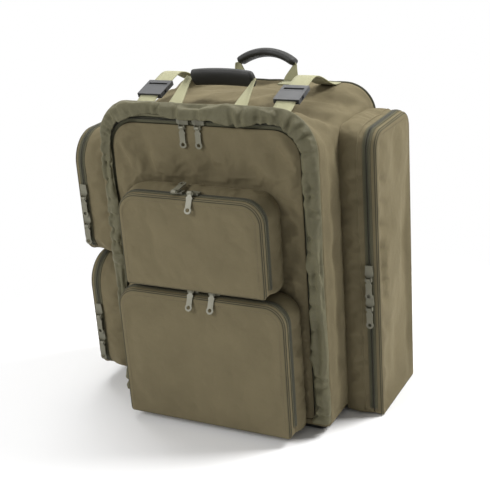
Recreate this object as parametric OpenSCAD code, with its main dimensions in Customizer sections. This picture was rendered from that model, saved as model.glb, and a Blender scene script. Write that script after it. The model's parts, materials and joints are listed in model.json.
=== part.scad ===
// Tackle backpack: a padded box rucksack with a zipped front panel, two front pockets,
// two pockets on its left side, one tall pocket on its right side, two carry handles
// and two buckled straps over the top. Millimetres, +Z up, front towards -Y.
// The origin is the centre of the base on the ground.

/* [Main bag] */
// Width of the main compartment
body_w = 446; // [400:1:500]
// Depth of the main compartment, front to back
body_d = 300; // [260:1:340]
// Height of the main compartment above the ground
body_h = 600; // [560:1:660]
// Thickness of the padded walls
wall_t = 5; // [3:0.5:7]
// Radius of the two upper corners, seen from the front
top_corner_r = 60; // [45:1:70]
// Radius of the two lower corners, seen from the front
base_corner_r = 14; // [10:1:24]
// Radius of the edges round the back
back_edge_r = 26; // [15:1:35]
// Thickness of the rubbed base guard that the bag stands on
base_t = 8; // [4:0.5:12]
// Thickness of the stiffener boards inside the back and the base
board_t = 3; // [2:0.5:5]

/* [Front opening] */
// Distance from the side of the bag to the chain of the main zip
opening_margin = 24; // [22:1:40]
// Distance from the top of the bag down to the chain of the main zip
opening_drop = 12; // [11:1:24]
// Radius of the upper corners of the main zip
opening_r = 58; // [45:1:70]
// Thickness of the front panel
panel_t = 5; // [3:0.5:7]
// How far the zip cover stands out in front
cover_t = 14; // [8:1:18]
// How far the zip cover stands up above the bag
cover_rise = 17; // [6:1:18]

/* [Front pockets] */
// Width of the lower front pocket
lower_w = 348; // [300:1:350]
// Height of the lower front pocket
lower_h = 262; // [220:1:270]
// Depth of the lower front pocket
lower_depth = 68; // [50:1:80]
// Width of the upper front pocket
upper_w = 292; // [220:1:330]
// Height of the upper front pocket
upper_h = 176; // [140:1:200]
// Depth of the upper front pocket
upper_depth = 76; // [55:1:90]
// Gap between the two front pockets
pocket_gap = 16; // [14:1:24]
// Radius of the upper corners of the front pockets
front_pocket_r = 40; // [25:1:50]

/* [Side pockets] */
// Length of the right pocket, front to back
right_w = 190; // [150:1:220]
// Height of the right pocket
right_h = 556; // [480:1:570]
// Height of the right pocket's foot above the ground
right_foot = 2; // [2:1:30]
// Depth of the right pocket, out from the side
right_depth = 70; // [50:1:90]
// Centre of the right pocket, behind the middle of the bag
right_shift = 32; // [10:1:40]
// Radius of the upper corners of the right pocket
right_r = 36; // [14:1:40]
// Length of the left pockets, front to back
left_w = 216; // [180:1:240]
// Height of each left pocket
left_h = 246; // [220:1:254]
// Height of the lower left pocket's foot above the ground
left_foot = 32; // [10:1:40]
// Depth of the left pockets, out from the side
left_depth = 92; // [60:1:100]
// Centre of the left pockets, in front of the middle of the bag
left_shift = 4; // [0:1:20]
// Gap between the two left pockets
left_gap = 12; // [8:1:24]
// Radius of the upper corners of the left pockets
left_r = 62; // [40:1:80]
// Radius of the lower corners of the left pockets
left_foot_r = 40; // [20:1:60]

/* [Pocket build] */
// Thickness of the pocket fabric with its foam
fabric_t = 4; // [3:0.5:6]
// Depth of a lid's rim, from its face back to the zip
lid_rim = 18; // [14:1:24]
// Rounding of a lid's edge
lid_edge_r = 12; // [8:1:14]
// Radius of the lower corners of the front and right pockets
foot_corner_r = 8; // [7:0.5:12]

/* [Zips] */
// Width of each half of a zip tape
tape_w = 8; // [6:0.5:12]
// Thickness of a zip tape
tape_t = 1.2; // [0.8:0.1:2]
// Width of each row of teeth
chain_w = 3; // [2:0.25:4]
// Height of the teeth above what the tape is sewn to
chain_t = 2.4; // [2.1:0.1:3]
// Gap between the two halves of a closed zip
zip_gap = 0.3; // [0.2:0.05:0.6]
// Height of the lower end of a zip above the foot of its lid
zip_foot = 14; // [10:1:30]

/* [Sliders and pulls] */
// Length of a slider along its zip
slider_l = 24; // [18:0.5:28]
// Width of a slider across its zip
slider_w = 16; // [13:0.5:18]
// Thickness of a slider's plate
slider_t = 3.4; // [2.5:0.1:4.5]
// Running gap between a slider and the teeth
slider_gap = 0.3; // [0.2:0.05:0.6]
// Radius of the bar that a pull hangs on
bar_r = 1.6; // [1.2:0.1:2]
// Radial clearance of a pull's eye on the bar
eye_gap = 0.08; // [0.02:0.01:0.1]
// Width of a pull's eye along the bar
eye_w = 8; // [6:0.5:10]
// Length of a pull, from the bar to its tip
pull_l = 38; // [30:1:44]
// Width of a pull at its round end
pull_w = 14; // [11:0.5:16]
// Width of a pull at its waist
pull_waist = 11; // [7:0.5:12]
// Thickness of a pull
pull_t = 2.2; // [1.6:0.1:3]
// Width of a pull at its shoulders
pull_shoulder_w = 12.6; // [10:0.2:13.4]
// Distance from the bar to the foot of a pull's shoulders
pull_shoulder_l = 12; // [11:0.5:16]
// Radius of the hole in a pull
pull_hole_r = 3.6; // [2:0.1:4.5]
// Distance between the two sliders of the main zip and of the upper pocket's zip
slider_pitch = 32; // [30:1:60]
// Distance between the two sliders of the lower pocket's zip
lower_slider_pitch = 44; // [30:1:80]
// Distance between the two sliders of a side zip
side_slider_pitch = 58; // [54:1:80]

/* [Handles] */
// Length of a rubber grip
grip_l = 128; // [110:1:140]
// Width of a rubber grip, through the handle
grip_w = 36; // [28:1:40]
// Thickness of a rubber grip, up from the hand
grip_t = 17; // [15:0.5:22]
// Width of the webbing where it runs through a grip
core_w = 10; // [8:0.5:12]
// Width of the handle webbing
webbing_w = 30; // [25:1:38]
// Thickness of the webbing
webbing_t = 2.4; // [1.6:0.1:3]
// Distance from the front handle's fold up to its grip's middle
front_handle_l = 98; // [80:1:110]
// Distance from the rear handle's fold up to its grip's middle
rear_handle_l = 54; // [48:1:70]
// Angle that the front handle leans back from upright
front_lean = 63; // [0:1:64]
// Angle that the rear handle leans back from upright
rear_lean = 18; // [0:1:30]
// Distance from the front of the bag back to the front handle's fold
front_handle_in = 10; // [8:1:40]
// Distance from the back of the bag forward to the rear handle's fold
rear_handle_in = 29; // [28:1:60]
// Radius that the front grip is bowed to
front_bow_r = 420; // [200:10:800]
// Radius that the rear grip is bowed to
rear_bow_r = 100; // [95:5:400]
// How far a foot of the front handle is set in from its grip's end
front_foot_in = 10; // [0:1:20]
// How far a foot of the rear handle is set in from its grip's end
rear_foot_in = 18; // [0:1:24]

/* [Top straps] */
// Distance of each strap from the middle of the bag
strap_x = 140; // [110:1:150]
// Width of a strap
strap_w = 38; // [30:1:40]
// Height of a buckle's front end above the top of the bag
strap_rise = 14; // [13:1:30]
// Angle at which a strap climbs from its buckle's front end
strap_tilt = 17; // [0:1:20]
// Distance from the front of the bag back to the straps
strap_in = 24; // [10:1:40]
// Length of a buckle's socket
socket_l = 30; // [24:1:40]
// Width of a buckle
buckle_w = 50; // [48:1:56]
// Thickness of a buckle
buckle_t = 9; // [8:0.5:12]

/* [Back] */
// Width of the padded back panel
back_pad_w = 380; // [300:1:400]
// Height of the padded back panel
back_pad_h = 490; // [420:1:495]
// Height of the padded back panel's foot above the ground
back_pad_foot = 78; // [70:1:80]
// Thickness of the padded back panel
back_pad_t = 16; // [10:1:24]
// Radius of the upper corners of the padded back panel
back_pad_r = 50; // [30:1:70]
// Radius of the lower corners of the padded back panel
back_pad_foot_r = 40; // [30:1:70]
// Rounding of the padded back panel's edge
back_pad_edge_r = 9; // [4:0.5:10]
// Distance between the two shoulder straps
shoulder_pitch = 170; // [130:1:220]
// Width of a shoulder pad
shoulder_w = 64; // [50:1:80]
// Length of a shoulder pad, from end to end
shoulder_l = 286; // [240:1:320]
// Distance from the top of the bag down to the shoulder pads
shoulder_drop = 62; // [55:1:80]
// Thickness of a shoulder pad
shoulder_t = 14; // [10:1:20]
// How far a shoulder pad bows out from the back panel
shoulder_bow = 34; // [20:1:50]
// Width of the shoulder webbing
shoulder_webbing_w = 25; // [20:1:30]

/* [Hidden] */

// Steps in a round corner and in a round edge
corner_steps = 6;
edge_steps = 4;
round_fn = 48;
// Cuts run this far past the faces that they open
over = 1;
// Gap between soft pieces that move past each other
soft_gap = 0.3;

front_y = -body_d / 2;
back_y = body_d / 2;
side_x = body_w / 2;
shell_h = body_h - base_t;

// The chain of the main zip: half its width, and its height above the ground
chain_half = side_x - opening_margin;
chain_top = body_h - opening_drop;
// The front panel, the opening behind it and the zip cover, as offsets from the chain
panel_inset = max(tape_w, slider_w / 2 + 0.5);
opening_out = 6;
cover_out = slider_w / 2 + 2;
border_t = 4;
panel_foot = base_t + wall_t + 3;

lower_top = panel_foot + lower_h;
upper_foot = lower_top + pocket_gap;
upper_top = upper_foot + upper_h;
panel_y = front_y - panel_t;
lower_seam = lower_depth - lid_rim;
upper_seam = upper_depth - lid_rim;

left_upper_foot = left_foot + left_h + left_gap;
right_seam = right_depth - lid_rim;
left_seam = left_depth - lid_rim;
right_front_y = right_shift - right_w / 2;
left_front_y = -left_shift - left_w / 2;

// Each pocket's width, height, upper and lower corner radius, and depth
upper_size = [upper_w, upper_h, front_pocket_r, foot_corner_r, upper_depth];
lower_size = [lower_w, lower_h, front_pocket_r, foot_corner_r, lower_depth];
right_size = [right_w, right_h, right_r, foot_corner_r, right_depth];
left_size = [left_w, left_h, left_r, left_foot_r, left_depth];

// A slider's plate lies above the teeth, and its bar stands at the plate's front edge,
// high enough for the eye of a pull to clear the front panel
plate_z = chain_t + slider_gap;
eye_r = bar_r + 1.8;
bar_out = eye_r + 0.4;
bar_z = max(plate_z + slider_t + pull_t / 2, panel_t + eye_r) + soft_gap;
ear_t = 2;
ear_sink = 0.6;
ear_gap = 0.4;
ear_root = 1.2;
// A pull widens to its shoulders past the ears of its slider
pull_neck = bar_out + ear_root + 1;
shoulder_flare = 2;

// How far the pulls of the front pockets droop, and how far back the flipped one lies
pull_droop = 64;
pull_flip = 172;

// Where the sliders stand along their zips
main_slider_x = -20;
upper_slider_x = -8;
lower_slider_x = 8;
right_slider_z = 270;
left_upper_slider_z = 396;
left_lower_slider_z = 140;

// Points of an arc, and of a rounded rectangle that stands on its foot at y = 0
function arc(c, r, from, to) =
    [for (i = [0 : corner_steps]) let (a = from + (to - from) * i / corner_steps)
        c + r * [cos(a), sin(a)]];
function outline(w, h, r_top, r_foot) = concat(
    arc([w / 2 - r_foot, r_foot], r_foot, -90, 0),
    arc([w / 2 - r_top, h - r_top], r_top, 0, 90),
    arc([r_top - w / 2, h - r_top], r_top, 90, 180),
    arc([r_foot - w / 2, r_foot], r_foot, 180, 270));
// The same outline grown by d on every side
function grown(w, h, r_top, r_foot, d) =
    [for (p = outline(w + 2 * d, h + 2 * d, max(r_top + d, 1), max(r_foot + d, 1))) p - [0, d]];
// The same outline drawn in by d at the sides and the top, with its foot left where it is
function drawn_in(w, h, r_top, r_foot, d) =
    outline(w - 2 * d, h - d, max(r_top - d, 1), max(r_foot - d, 1));

// A solid through a stack of rings, each with as many points and a height of its own
module loft(rings, heights) {
    n = len(rings[0]);
    last = len(rings) - 1;
    points = [for (k = [0 : last]) for (p = rings[k]) [p.x, p.y, heights[k]]];
    sides = [for (k = [0 : last - 1]) for (j = [0 : n - 1])
        let (a = k * n + j, b = k * n + (j + 1) % n)
        each [[a, a + n, b + n], [a, b + n, b]]];
    foot = [for (j = [0 : n - 1]) j];
    cap = [for (j = [0 : n - 1]) last * n + n - 1 - j];
    polyhedron(points, concat(sides, [foot, cap]));
}

// Frames: x along the width, y up and z out of the face
module facing_front(x, y, z) { translate([x, y, z]) rotate([90, 0, 0]) children(); }
module facing_right(x, y, z) { translate([x, y, z]) rotate([90, 0, 90]) children(); }
module facing_left(x, y, z) { translate([x, y, z]) rotate([90, 0, -90]) children(); }
module facing_back(x, y, z) { translate([x, y, z]) rotate([90, 0, 180]) children(); }

// Main compartment: a padded box, open at the front inside a sewn border
module main_shell() {
    function ring(d) = grown(body_w, shell_h, top_corner_r, base_corner_r, -d);
    angles = [for (i = [0 : edge_steps]) 90 * i / edge_steps];
    inner_r = back_edge_r - wall_t;
    color([0.42, 0.38, 0.30])
    facing_front(0, back_y, base_t) difference() {
        loft(concat([for (a = angles) ring(back_edge_r * (1 - sin(a)))], [ring(0)]),
             concat([for (a = angles) back_edge_r * (1 - cos(a))], [body_d]));
        loft(concat([for (a = angles) ring(wall_t + inner_r * (1 - sin(a)))], [ring(wall_t)]),
             concat([for (a = angles) wall_t + inner_r * (1 - cos(a))], [body_d - border_t]));
        translate([0, wall_t, body_d / 2]) linear_extrude(body_d)
            polygon(outline(2 * (chain_half + opening_out), chain_top + opening_out - base_t - wall_t,
                            opening_r + opening_out, 1));
    }
}

// Dark guard under the base
module base_guard() {
    guard_in = 4;
    guard_r = 12;
    color([0.10, 0.10, 0.09])
    translate([0, front_y + guard_in, 0]) linear_extrude(base_t)
        polygon(outline(body_w - 2 * base_corner_r, body_d - back_edge_r - guard_in, guard_r, guard_r));
}

// Boards inside the back and the base that keep the box in shape
module stiffener_boards() {
    board_in = back_edge_r + 4;
    board_w = body_w - 2 * board_in;
    board_r = max(top_corner_r - board_in, 4);
    color([0.13, 0.13, 0.13]) {
        facing_front(0, back_y - wall_t - soft_gap, base_t + board_in) linear_extrude(board_t)
            polygon(outline(board_w, shell_h - 2 * board_in, board_r, board_r));
        translate([0, front_y + board_in, base_t + wall_t]) linear_extrude(board_t)
            polygon(outline(board_w, body_d - 2 * board_in, board_r, board_r));
    }
}

// An upside-down U between two offsets from the chain of the main zip
module main_zip_band(from, to, thick) {
    linear_extrude(thick) difference() {
        polygon(grown(2 * chain_half, chain_top - panel_foot, opening_r, 1, to));
        polygon(grown(2 * chain_half, chain_top - panel_foot, opening_r, 1, from));
        translate([-body_w, -2 * body_h]) square([2 * body_w, 2 * body_h]);
    }
}

// Gathered cover that stands round the main zip
module zip_cover() {
    cover_h = body_h + cover_rise - panel_foot;
    color([0.36, 0.36, 0.27])
    facing_front(0, front_y, panel_foot) linear_extrude(cover_t) difference() {
        polygon(outline(body_w, cover_h, top_corner_r + cover_rise, 1));
        polygon(grown(2 * chain_half, chain_top - panel_foot, opening_r, 1, cover_out));
    }
}

// A zip half in the front plane, with its row of teeth beside the chain line
module main_half(side, width) {
    tape = side * [zip_gap / 2, width];
    teeth = side * [zip_gap / 2, chain_w];
    main_zip_band(min(tape), max(tape), tape_t);
    main_zip_band(min(teeth), max(teeth), chain_t);
}

// The outline of a pocket, grown by d on every side
function pocket_outline(size, d) = grown(size[0], size[1], size[2], size[3], d);
function seam_of(size) = size[4] - lid_rim;
// Half the straight part of a pocket's foot, which its floor fills
function floor_half(size) = size[0] / 2 - size[3] - fabric_t;

// A zip half round the sides and top of a pocket, from its seam back or forward
module zip_half(size, side) {
    module band(width, thick) {
        translate([0, 0, min(side * zip_gap / 2, side * width) + seam_of(size)])
        linear_extrude(width - zip_gap / 2) difference() {
            polygon(pocket_outline(size, thick));
            polygon(pocket_outline(size, 0));
            translate([-size[0], zip_foot - 2 * size[1]]) square([2 * size[0], 2 * size[1]]);
        }
    }
    color([0.17, 0.18, 0.14]) {
        band(tape_w, tape_t);
        band(chain_w, chain_t);
    }
}

// Gusset of a pocket: its walls out to the zip, and its floor out to the face of the lid
module gusset(size) {
    floor_w = 2 * floor_half(size);
    color([0.43, 0.39, 0.31]) {
        linear_extrude(seam_of(size) - zip_gap / 2) difference() {
            polygon(pocket_outline(size, 0));
            polygon(pocket_outline(size, -fabric_t));
        }
        translate([-floor_w / 2, 0, fabric_t])
            cube([floor_w, fabric_t, size[4] - 2 * fabric_t - soft_gap]);
    }
}

// Lid of a pocket: a padded face with a rim round it, hinged along the straight part of its foot
module lid(size) {
    depth = size[4];
    seam = seam_of(size);
    angles = [for (i = [0 : edge_steps]) 90 * i / edge_steps];
    inner_r = lid_edge_r - fabric_t;
    slot_w = 2 * (floor_half(size) + soft_gap);
    function ring(d) = drawn_in(size[0], size[1], size[2], size[3], d);
    function inner_ring(d) = [for (p = drawn_in(size[0], size[1] - fabric_t, size[2], size[3], fabric_t + d))
        p + [0, fabric_t]];
    color([0.44, 0.40, 0.31]) difference() {
        loft(concat([ring(0)], [for (a = angles) ring(lid_edge_r * (1 - cos(a)))]),
             concat([seam + zip_gap / 2], [for (a = angles) depth - lid_edge_r + lid_edge_r * sin(a)]));
        loft(concat([inner_ring(0)], [for (a = angles) inner_ring(inner_r * (1 - cos(a)))]),
             concat([seam - over], [for (a = angles) depth - lid_edge_r + inner_r * sin(a)]));
        translate([-slot_w / 2, -over, seam - over])
            cube([slot_w, fabric_t + 2 * over, lid_rim - fabric_t + over]);
    }
}

// Slider plate with two ears and a bar; along_x says which way its zip runs
module slider(along_x) {
    l = slider_l / 2;
    w = slider_w / 2;
    nose = 6;
    nose_w = slider_w * 0.55;
    tail_w = slider_w * 0.8;
    plate = [[-l, -nose_w / 2], [nose - l, -w], [l, -tail_w / 2],
             [l, tail_w / 2], [nose - l, w], [-l, nose_w / 2]];
    edge = along_x ? w : l;
    bar_y = -edge - bar_out;
    ear_x = eye_w / 2 + ear_gap;
    ear_z = plate_z + slider_t - ear_sink;
    color([0.44, 0.46, 0.40]) union() {
        translate([0, 0, plate_z]) rotate([0, 0, along_x ? 0 : 90]) linear_extrude(slider_t) polygon(plate);
        for (x = [ear_x, -ear_x - ear_t])
            translate([x, bar_y - bar_r - ear_sink, ear_z])
                cube([ear_t, bar_out + bar_r + ear_sink + ear_root, bar_z + bar_r - ear_z]);
        translate([-ear_x - ear_t / 2, bar_y, bar_z]) rotate([0, 90, 0])
            cylinder(h = 2 * ear_x + ear_t, r = bar_r, $fn = round_fn);
    }
}

// Pull tab on its bar: an eye, a waist and a round end with a hole
module pull() {
    end_r = pull_w / 2;
    half_eye = eye_w / 2;
    half_shoulder = pull_shoulder_w / 2;
    half_waist = pull_waist / 2;
    right_edge = [[half_eye, 0], [half_eye, -pull_neck], [half_shoulder, -pull_neck - shoulder_flare],
                  [half_shoulder, -pull_shoulder_l + shoulder_flare], [half_waist, -pull_shoulder_l],
                  [half_waist, end_r - pull_l]];
    left_edge = [for (i = [len(right_edge) - 1 : -1 : 0]) [-right_edge[i].x, right_edge[i].y]];
    color([0.47, 0.49, 0.42]) difference() {
        union() {
            translate([-half_eye, 0, 0]) rotate([0, 90, 0]) cylinder(h = eye_w, r = eye_r, $fn = round_fn);
            translate([0, 0, -pull_t / 2]) linear_extrude(pull_t) {
                polygon(concat(right_edge, left_edge));
                translate([0, end_r - pull_l]) circle(r = end_r, $fn = round_fn);
            }
        }
        translate([-half_eye - over, 0, 0]) rotate([0, 90, 0])
            cylinder(h = eye_w + 2 * over, r = bar_r + eye_gap, $fn = round_fn);
        translate([0, end_r - pull_l, -pull_t]) cylinder(h = 2 * pull_t, r = pull_hole_r, $fn = round_fn);
    }
}

// A pull hung on the bar of a slider at the same place
module hung_pull(along_x, turn) {
    edge = along_x ? slider_w / 2 : slider_l / 2;
    translate([0, -edge - bar_out, bar_z]) rotate([turn, 0, 0]) pull();
}

// Places on the zips: s is -1 for the left or lower slider and 1 for the other
module on_main_zip(s) {
    facing_front(main_slider_x + s * slider_pitch / 2, front_y, chain_top) children();
}
module on_upper_zip(s) {
    translate([upper_slider_x + s * slider_pitch / 2, panel_y - upper_seam, upper_top]) children();
}
module on_lower_zip(s) {
    translate([lower_slider_x + s * lower_slider_pitch / 2, panel_y - lower_seam, lower_top]) children();
}
module on_right_zip(s) {
    facing_front(side_x + right_seam, right_front_y, right_slider_z + s * side_slider_pitch / 2) children();
}
module on_left_zip(z, s) {
    facing_front(-side_x - left_seam, left_front_y, z + s * side_slider_pitch / 2) children();
}
module on_left_upper_zip(s) { on_left_zip(left_upper_slider_z, s) children(); }
module on_left_lower_zip(s) { on_left_zip(left_lower_slider_z, s) children(); }

// Carry handle: webbing up from two sewn feet and through a bowed rubber grip.
// Each has its fold's place along y, its lean, its length, its bow and how far in its feet are.
front_handle = [front_y + front_handle_in, front_lean, front_handle_l, front_bow_r, front_foot_in];
rear_handle = [back_y - rear_handle_in, rear_lean, rear_handle_l, rear_bow_r, rear_foot_in];
core_t = 2 * webbing_t;
function bow_half(bow_r, l) = l / 2 / bow_r * 180 / PI;
// A section swept along the bow of a grip, with its middle at the origin
module bowed(bow_r, l) {
    half = bow_half(bow_r, l);
    translate([0, 0, -bow_r]) rotate([90, 0, 0]) rotate([0, 0, 90 - half])
        rotate_extrude(angle = 2 * half, $fn = round_fn) translate([bow_r, 0]) children();
}
// The fold where a leg meets the top of the bag is a round bead, and the handle turns on it
fold_r = webbing_t / 2;
fold_z = body_h + soft_gap + fold_r;
module on_fold(handle) { translate([0, handle[0], fold_z]) rotate([-handle[1], 0, 0]) children(); }
function grip_end(handle) = handle[3] * sin(bow_half(handle[3], grip_l));
function foot_x(handle) = grip_end(handle) - webbing_t - handle[4];
module handle_webbing(handle) {
    bow_r = handle[3];
    drop = bow_r * (1 - cos(bow_half(bow_r, grip_l)));
    in_x = foot_x(handle);
    end_x = grip_end(handle) + webbing_t;
    end_z = handle[2] - drop;
    // A leg stops short of the core's upper edge, clear of the grip's slanted end
    top_z = end_z + 0.4 * core_w;
    leg = [[in_x, 0], [in_x + webbing_w, 0], [end_x + 2 * webbing_t, end_z], [end_x + webbing_t, top_z],
           [end_x, top_z], [end_x, end_z - core_w / 2]];
    color([0.60, 0.62, 0.48]) on_fold(handle) {
        translate([0, 0, handle[2]]) bowed(bow_r, grip_l + 2 * webbing_t)
            square([core_w, core_t], center = true);
        for (s = [0, 1]) mirror([s, 0, 0]) {
            translate([0, webbing_t / 2, 0]) rotate([90, 0, 0]) linear_extrude(webbing_t) polygon(leg);
            translate([in_x, 0, 0]) rotate([0, 90, 0]) cylinder(h = webbing_w, r = fold_r, $fn = round_fn);
        }
    }
}
// Sewn ends of the handles, flat on the top of the bag
tab_in = 6;
tab_l = 26;
module handle_tabs() {
    color([0.60, 0.62, 0.48]) for (s = [0, 1]) mirror([s, 0, 0]) {
        translate([foot_x(front_handle), front_handle[0] + tab_in, body_h])
            cube([webbing_w, tab_l, webbing_t]);
        translate([foot_x(rear_handle), rear_handle[0] - tab_in - tab_l, body_h])
            cube([webbing_w, tab_l, webbing_t]);
    }
}
module handle_grip(handle) {
    color([0.12, 0.12, 0.12]) on_fold(handle) translate([0, 0, handle[2]]) bowed(handle[3], grip_l)
        difference() {
            scale([grip_t / grip_w, 1]) circle(d = grip_w, $fn = round_fn);
            square([core_w + 2 * soft_gap, core_t + 2 * soft_gap], center = true);
        }
}

// Straps over the top: a sewn front piece with a socket, and a rear piece with a sliding prong
strap_z = body_h + strap_rise;
strap_front_y = front_y + strap_in;
strap_back_in = 4;
strap_back_y = back_y - back_edge_r - strap_back_in;
strap_foot_l = 12;
strap_climb = 24;
// Middle of the webbing where it lies on the top of the bag
strap_low = body_h + soft_gap + webbing_t / 2;
socket_y = strap_front_y + strap_foot_l + strap_climb;
socket_wall = 1.6;
socket_floor = 6;
webbing_tuck = 3;
prong_travel = 30;
prong_frame_l = 20;
prong_bar = 5;
prong_in = socket_l + soft_gap;
slot_room = 0.6;
module each_strap() { for (s = [-1, 1]) translate([s * strap_x, 0, 0]) children(); }
// A strap's line climbs from the front end of its socket; strap_point turns [along, up] on it into [y, z]
module on_strap_line() { translate([0, socket_y, strap_z]) rotate([strap_tilt, 0, 0]) children(); }
function strap_point(p) = [socket_y + p.x * cos(strap_tilt) - p.y * sin(strap_tilt),
                           strap_z + p.x * sin(strap_tilt) + p.y * cos(strap_tilt)];
// A ribbon as wide as a strap between two lines of [y, z] points
module strap_ribbon(lower, upper) {
    back_again = [for (i = [len(upper) - 1 : -1 : 0]) upper[i]];
    color([0.60, 0.62, 0.48]) each_strap() translate([-strap_w / 2, 0, 0]) rotate([90, 0, 90])
        linear_extrude(strap_w) polygon(concat(lower, back_again));
}
module strap_front_webbing() {
    function line(up) = [[strap_front_y, strap_low + up], [strap_front_y + strap_foot_l, strap_low + up],
                         strap_point([-slot_room, up]), strap_point([webbing_tuck, up])];
    strap_ribbon(line(-webbing_t / 2), line(webbing_t / 2));
}
module buckle_sockets() {
    inside_w = buckle_w - 2 * socket_wall;
    inside_t = buckle_t - 2 * socket_wall;
    mouth_w = strap_w + 2 * soft_gap;
    mouth_t = webbing_t + 2 * soft_gap;
    window_l = 10;
    window_in = 4;
    color([0.16, 0.16, 0.16]) each_strap() on_strap_line() difference() {
        translate([-buckle_w / 2, 0, -buckle_t / 2]) cube([buckle_w, socket_l, buckle_t]);
        translate([-inside_w / 2, socket_floor, -inside_t / 2]) cube([inside_w, socket_l, inside_t]);
        translate([-mouth_w / 2, -over, -mouth_t / 2])
            cube([mouth_w, webbing_tuck + soft_gap + over, mouth_t]);
        translate([-buckle_w, socket_floor + window_in, -inside_t / 2])
            cube([2 * buckle_w, window_l, inside_t]);
    }
}
module buckle_prong(s) {
    fork_t = buckle_t - 2 * socket_wall - 2 * soft_gap;
    fork_w = buckle_w - 2 * socket_wall - 2 * soft_gap;
    fork_l = socket_l - socket_floor;
    slot_w = strap_w + 2 * slot_room;
    slot_t = webbing_t + 2 * slot_room;
    arm_w = (fork_w - slot_w) / 2;
    color([0.18, 0.18, 0.18]) translate([s * strap_x, 0, 0]) on_strap_line() translate([0, prong_in, 0])
        difference() {
            union() {
                translate([-buckle_w / 2, 0, -buckle_t / 2]) cube([buckle_w, prong_frame_l, buckle_t]);
                for (x = [-fork_w / 2, fork_w / 2 - arm_w])
                    translate([x, soft_gap - fork_l, -fork_t / 2]) cube([arm_w, fork_l, fork_t]);
            }
            translate([-slot_w / 2, -over, -slot_t / 2]) cube([slot_w, prong_frame_l + 2 * over, slot_t]);
            translate([-slot_w / 2, prong_bar, -buckle_t]) cube([slot_w, prong_bar, 2 * buckle_t]);
        }
}
// The rear piece runs straight as far as the prong slides, then arches down to its sewn end
function arch(p, t) = pow(1 - t, 3) * p[0] + 3 * t * pow(1 - t, 2) * p[1] + 3 * t * t * (1 - t) * p[2]
    + pow(t, 3) * p[3];
function arch_way(p, t) = pow(1 - t, 2) * (p[1] - p[0]) + 2 * t * (1 - t) * (p[2] - p[1])
    + t * t * (p[3] - p[2]);
function across(way) = [-way.y, way.x] / norm(way);
module strap_rear_webbing() {
    arch_steps = 10;
    crest_ease = 30;
    foot_ease = 35;
    start = prong_in + prong_bar + slot_room;
    level = start + prong_travel + prong_frame_l;
    foot = [strap_back_y - strap_foot_l, strap_low];
    bends = [strap_point([level, 0]), strap_point([level + crest_ease, 0]), foot - [foot_ease, 0], foot];
    function line(up) = concat(
        [strap_point([start, up])],
        [for (i = [0 : arch_steps]) let (t = i / arch_steps)
            arch(bends, t) + up * across(arch_way(bends, t))],
        [[strap_back_y, strap_low + up]]);
    strap_ribbon(line(-webbing_t / 2), line(webbing_t / 2));
}

// Padded back panel
module back_pad() {
    function ring(d) = grown(back_pad_w, back_pad_h, back_pad_r, back_pad_foot_r, -d);
    angles = [for (i = [0 : edge_steps]) 90 * i / edge_steps];
    color([0.20, 0.20, 0.17]) facing_back(0, back_y, back_pad_foot)
        loft(concat([ring(0)], [for (a = angles) ring(back_pad_edge_r * (1 - cos(a)))]),
             concat([0], [for (a = angles) back_pad_t - back_pad_edge_r * (1 - sin(a))]));
}

// Shoulder straps: bowed pads, webbing below them and the locks that join the two
pad_y = back_y + back_pad_t + soft_gap;
shoulder_foot = body_h - shoulder_drop - shoulder_l;
// The webbing below a pad is sewn on under the back panel and ends behind the lock's crossbar
webbing_foot = back_pad_foot - 12;
webbing_climb = 14;
lock_h = 26;
lock_t = 6;
lock_rim = 4;
lock_slot_h = 4;
lock_side = 5;
module each_shoulder() { for (s = [-1, 1]) translate([s * shoulder_pitch / 2, 0, 0]) children(); }
module shoulder_pads() {
    function bow(t) = shoulder_bow * sin(180 * t);
    steps = 14;
    inner = [for (i = [0 : steps]) let (t = i / steps) [pad_y + bow(t), shoulder_foot + shoulder_l * t]];
    outer = [for (i = [steps : -1 : 0]) let (t = i / steps)
        [pad_y + bow(t) + shoulder_t, shoulder_foot + shoulder_l * t]];
    color([0.20, 0.20, 0.17]) each_shoulder() translate([-shoulder_w / 2, 0, 0])
        rotate([90, 0, 90]) linear_extrude(shoulder_w) polygon(concat(inner, outer));
}
module ladder_locks() {
    lock_w = shoulder_webbing_w + 2 * lock_side;
    color([0.12, 0.12, 0.12]) each_shoulder()
        translate([-lock_w / 2, pad_y + (shoulder_t - lock_t) / 2, shoulder_foot - lock_h]) difference() {
            cube([lock_w, lock_t, lock_h]);
            for (z = [lock_rim, 2 * lock_rim + lock_slot_h])
                translate([lock_side - soft_gap, -over, z])
                    cube([shoulder_webbing_w + 2 * soft_gap, lock_t + 2 * over, lock_slot_h]);
        }
}
module shoulder_webbing() {
    foot_l = 30;
    low_y = back_y + soft_gap;
    bend = webbing_foot + webbing_climb;
    end = shoulder_foot - lock_h + lock_rim + lock_slot_h;
    out_y = pad_y + (shoulder_t - lock_t) / 2 - soft_gap;
    color([0.24, 0.25, 0.20]) each_shoulder() translate([-shoulder_webbing_w / 2, 0, 0])
        rotate([90, 0, 90]) linear_extrude(shoulder_webbing_w)
            polygon([[low_y, webbing_foot - foot_l], [low_y, webbing_foot], [pad_y, bend],
                     [out_y - webbing_t, end], [out_y, end], [pad_y + webbing_t, bend - 1],
                     [low_y + webbing_t, webbing_foot - 1], [low_y + webbing_t, webbing_foot - foot_l]]);
}

// Front panel and what is sewn to it
module front_panel() {
    color([0.43, 0.39, 0.31]) facing_front(0, front_y, panel_foot) linear_extrude(panel_t)
        polygon(grown(2 * chain_half, chain_top - panel_foot, opening_r, 1 + panel_inset, -panel_inset));
}

module upper_place() { facing_front(0, panel_y, upper_foot) children(); }
module lower_place() { facing_front(0, panel_y, panel_foot) children(); }
module right_place() { facing_right(side_x, right_shift, right_foot) children(); }
module left_place(z) { facing_left(-side_x, -left_shift, z) children(); }

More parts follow.
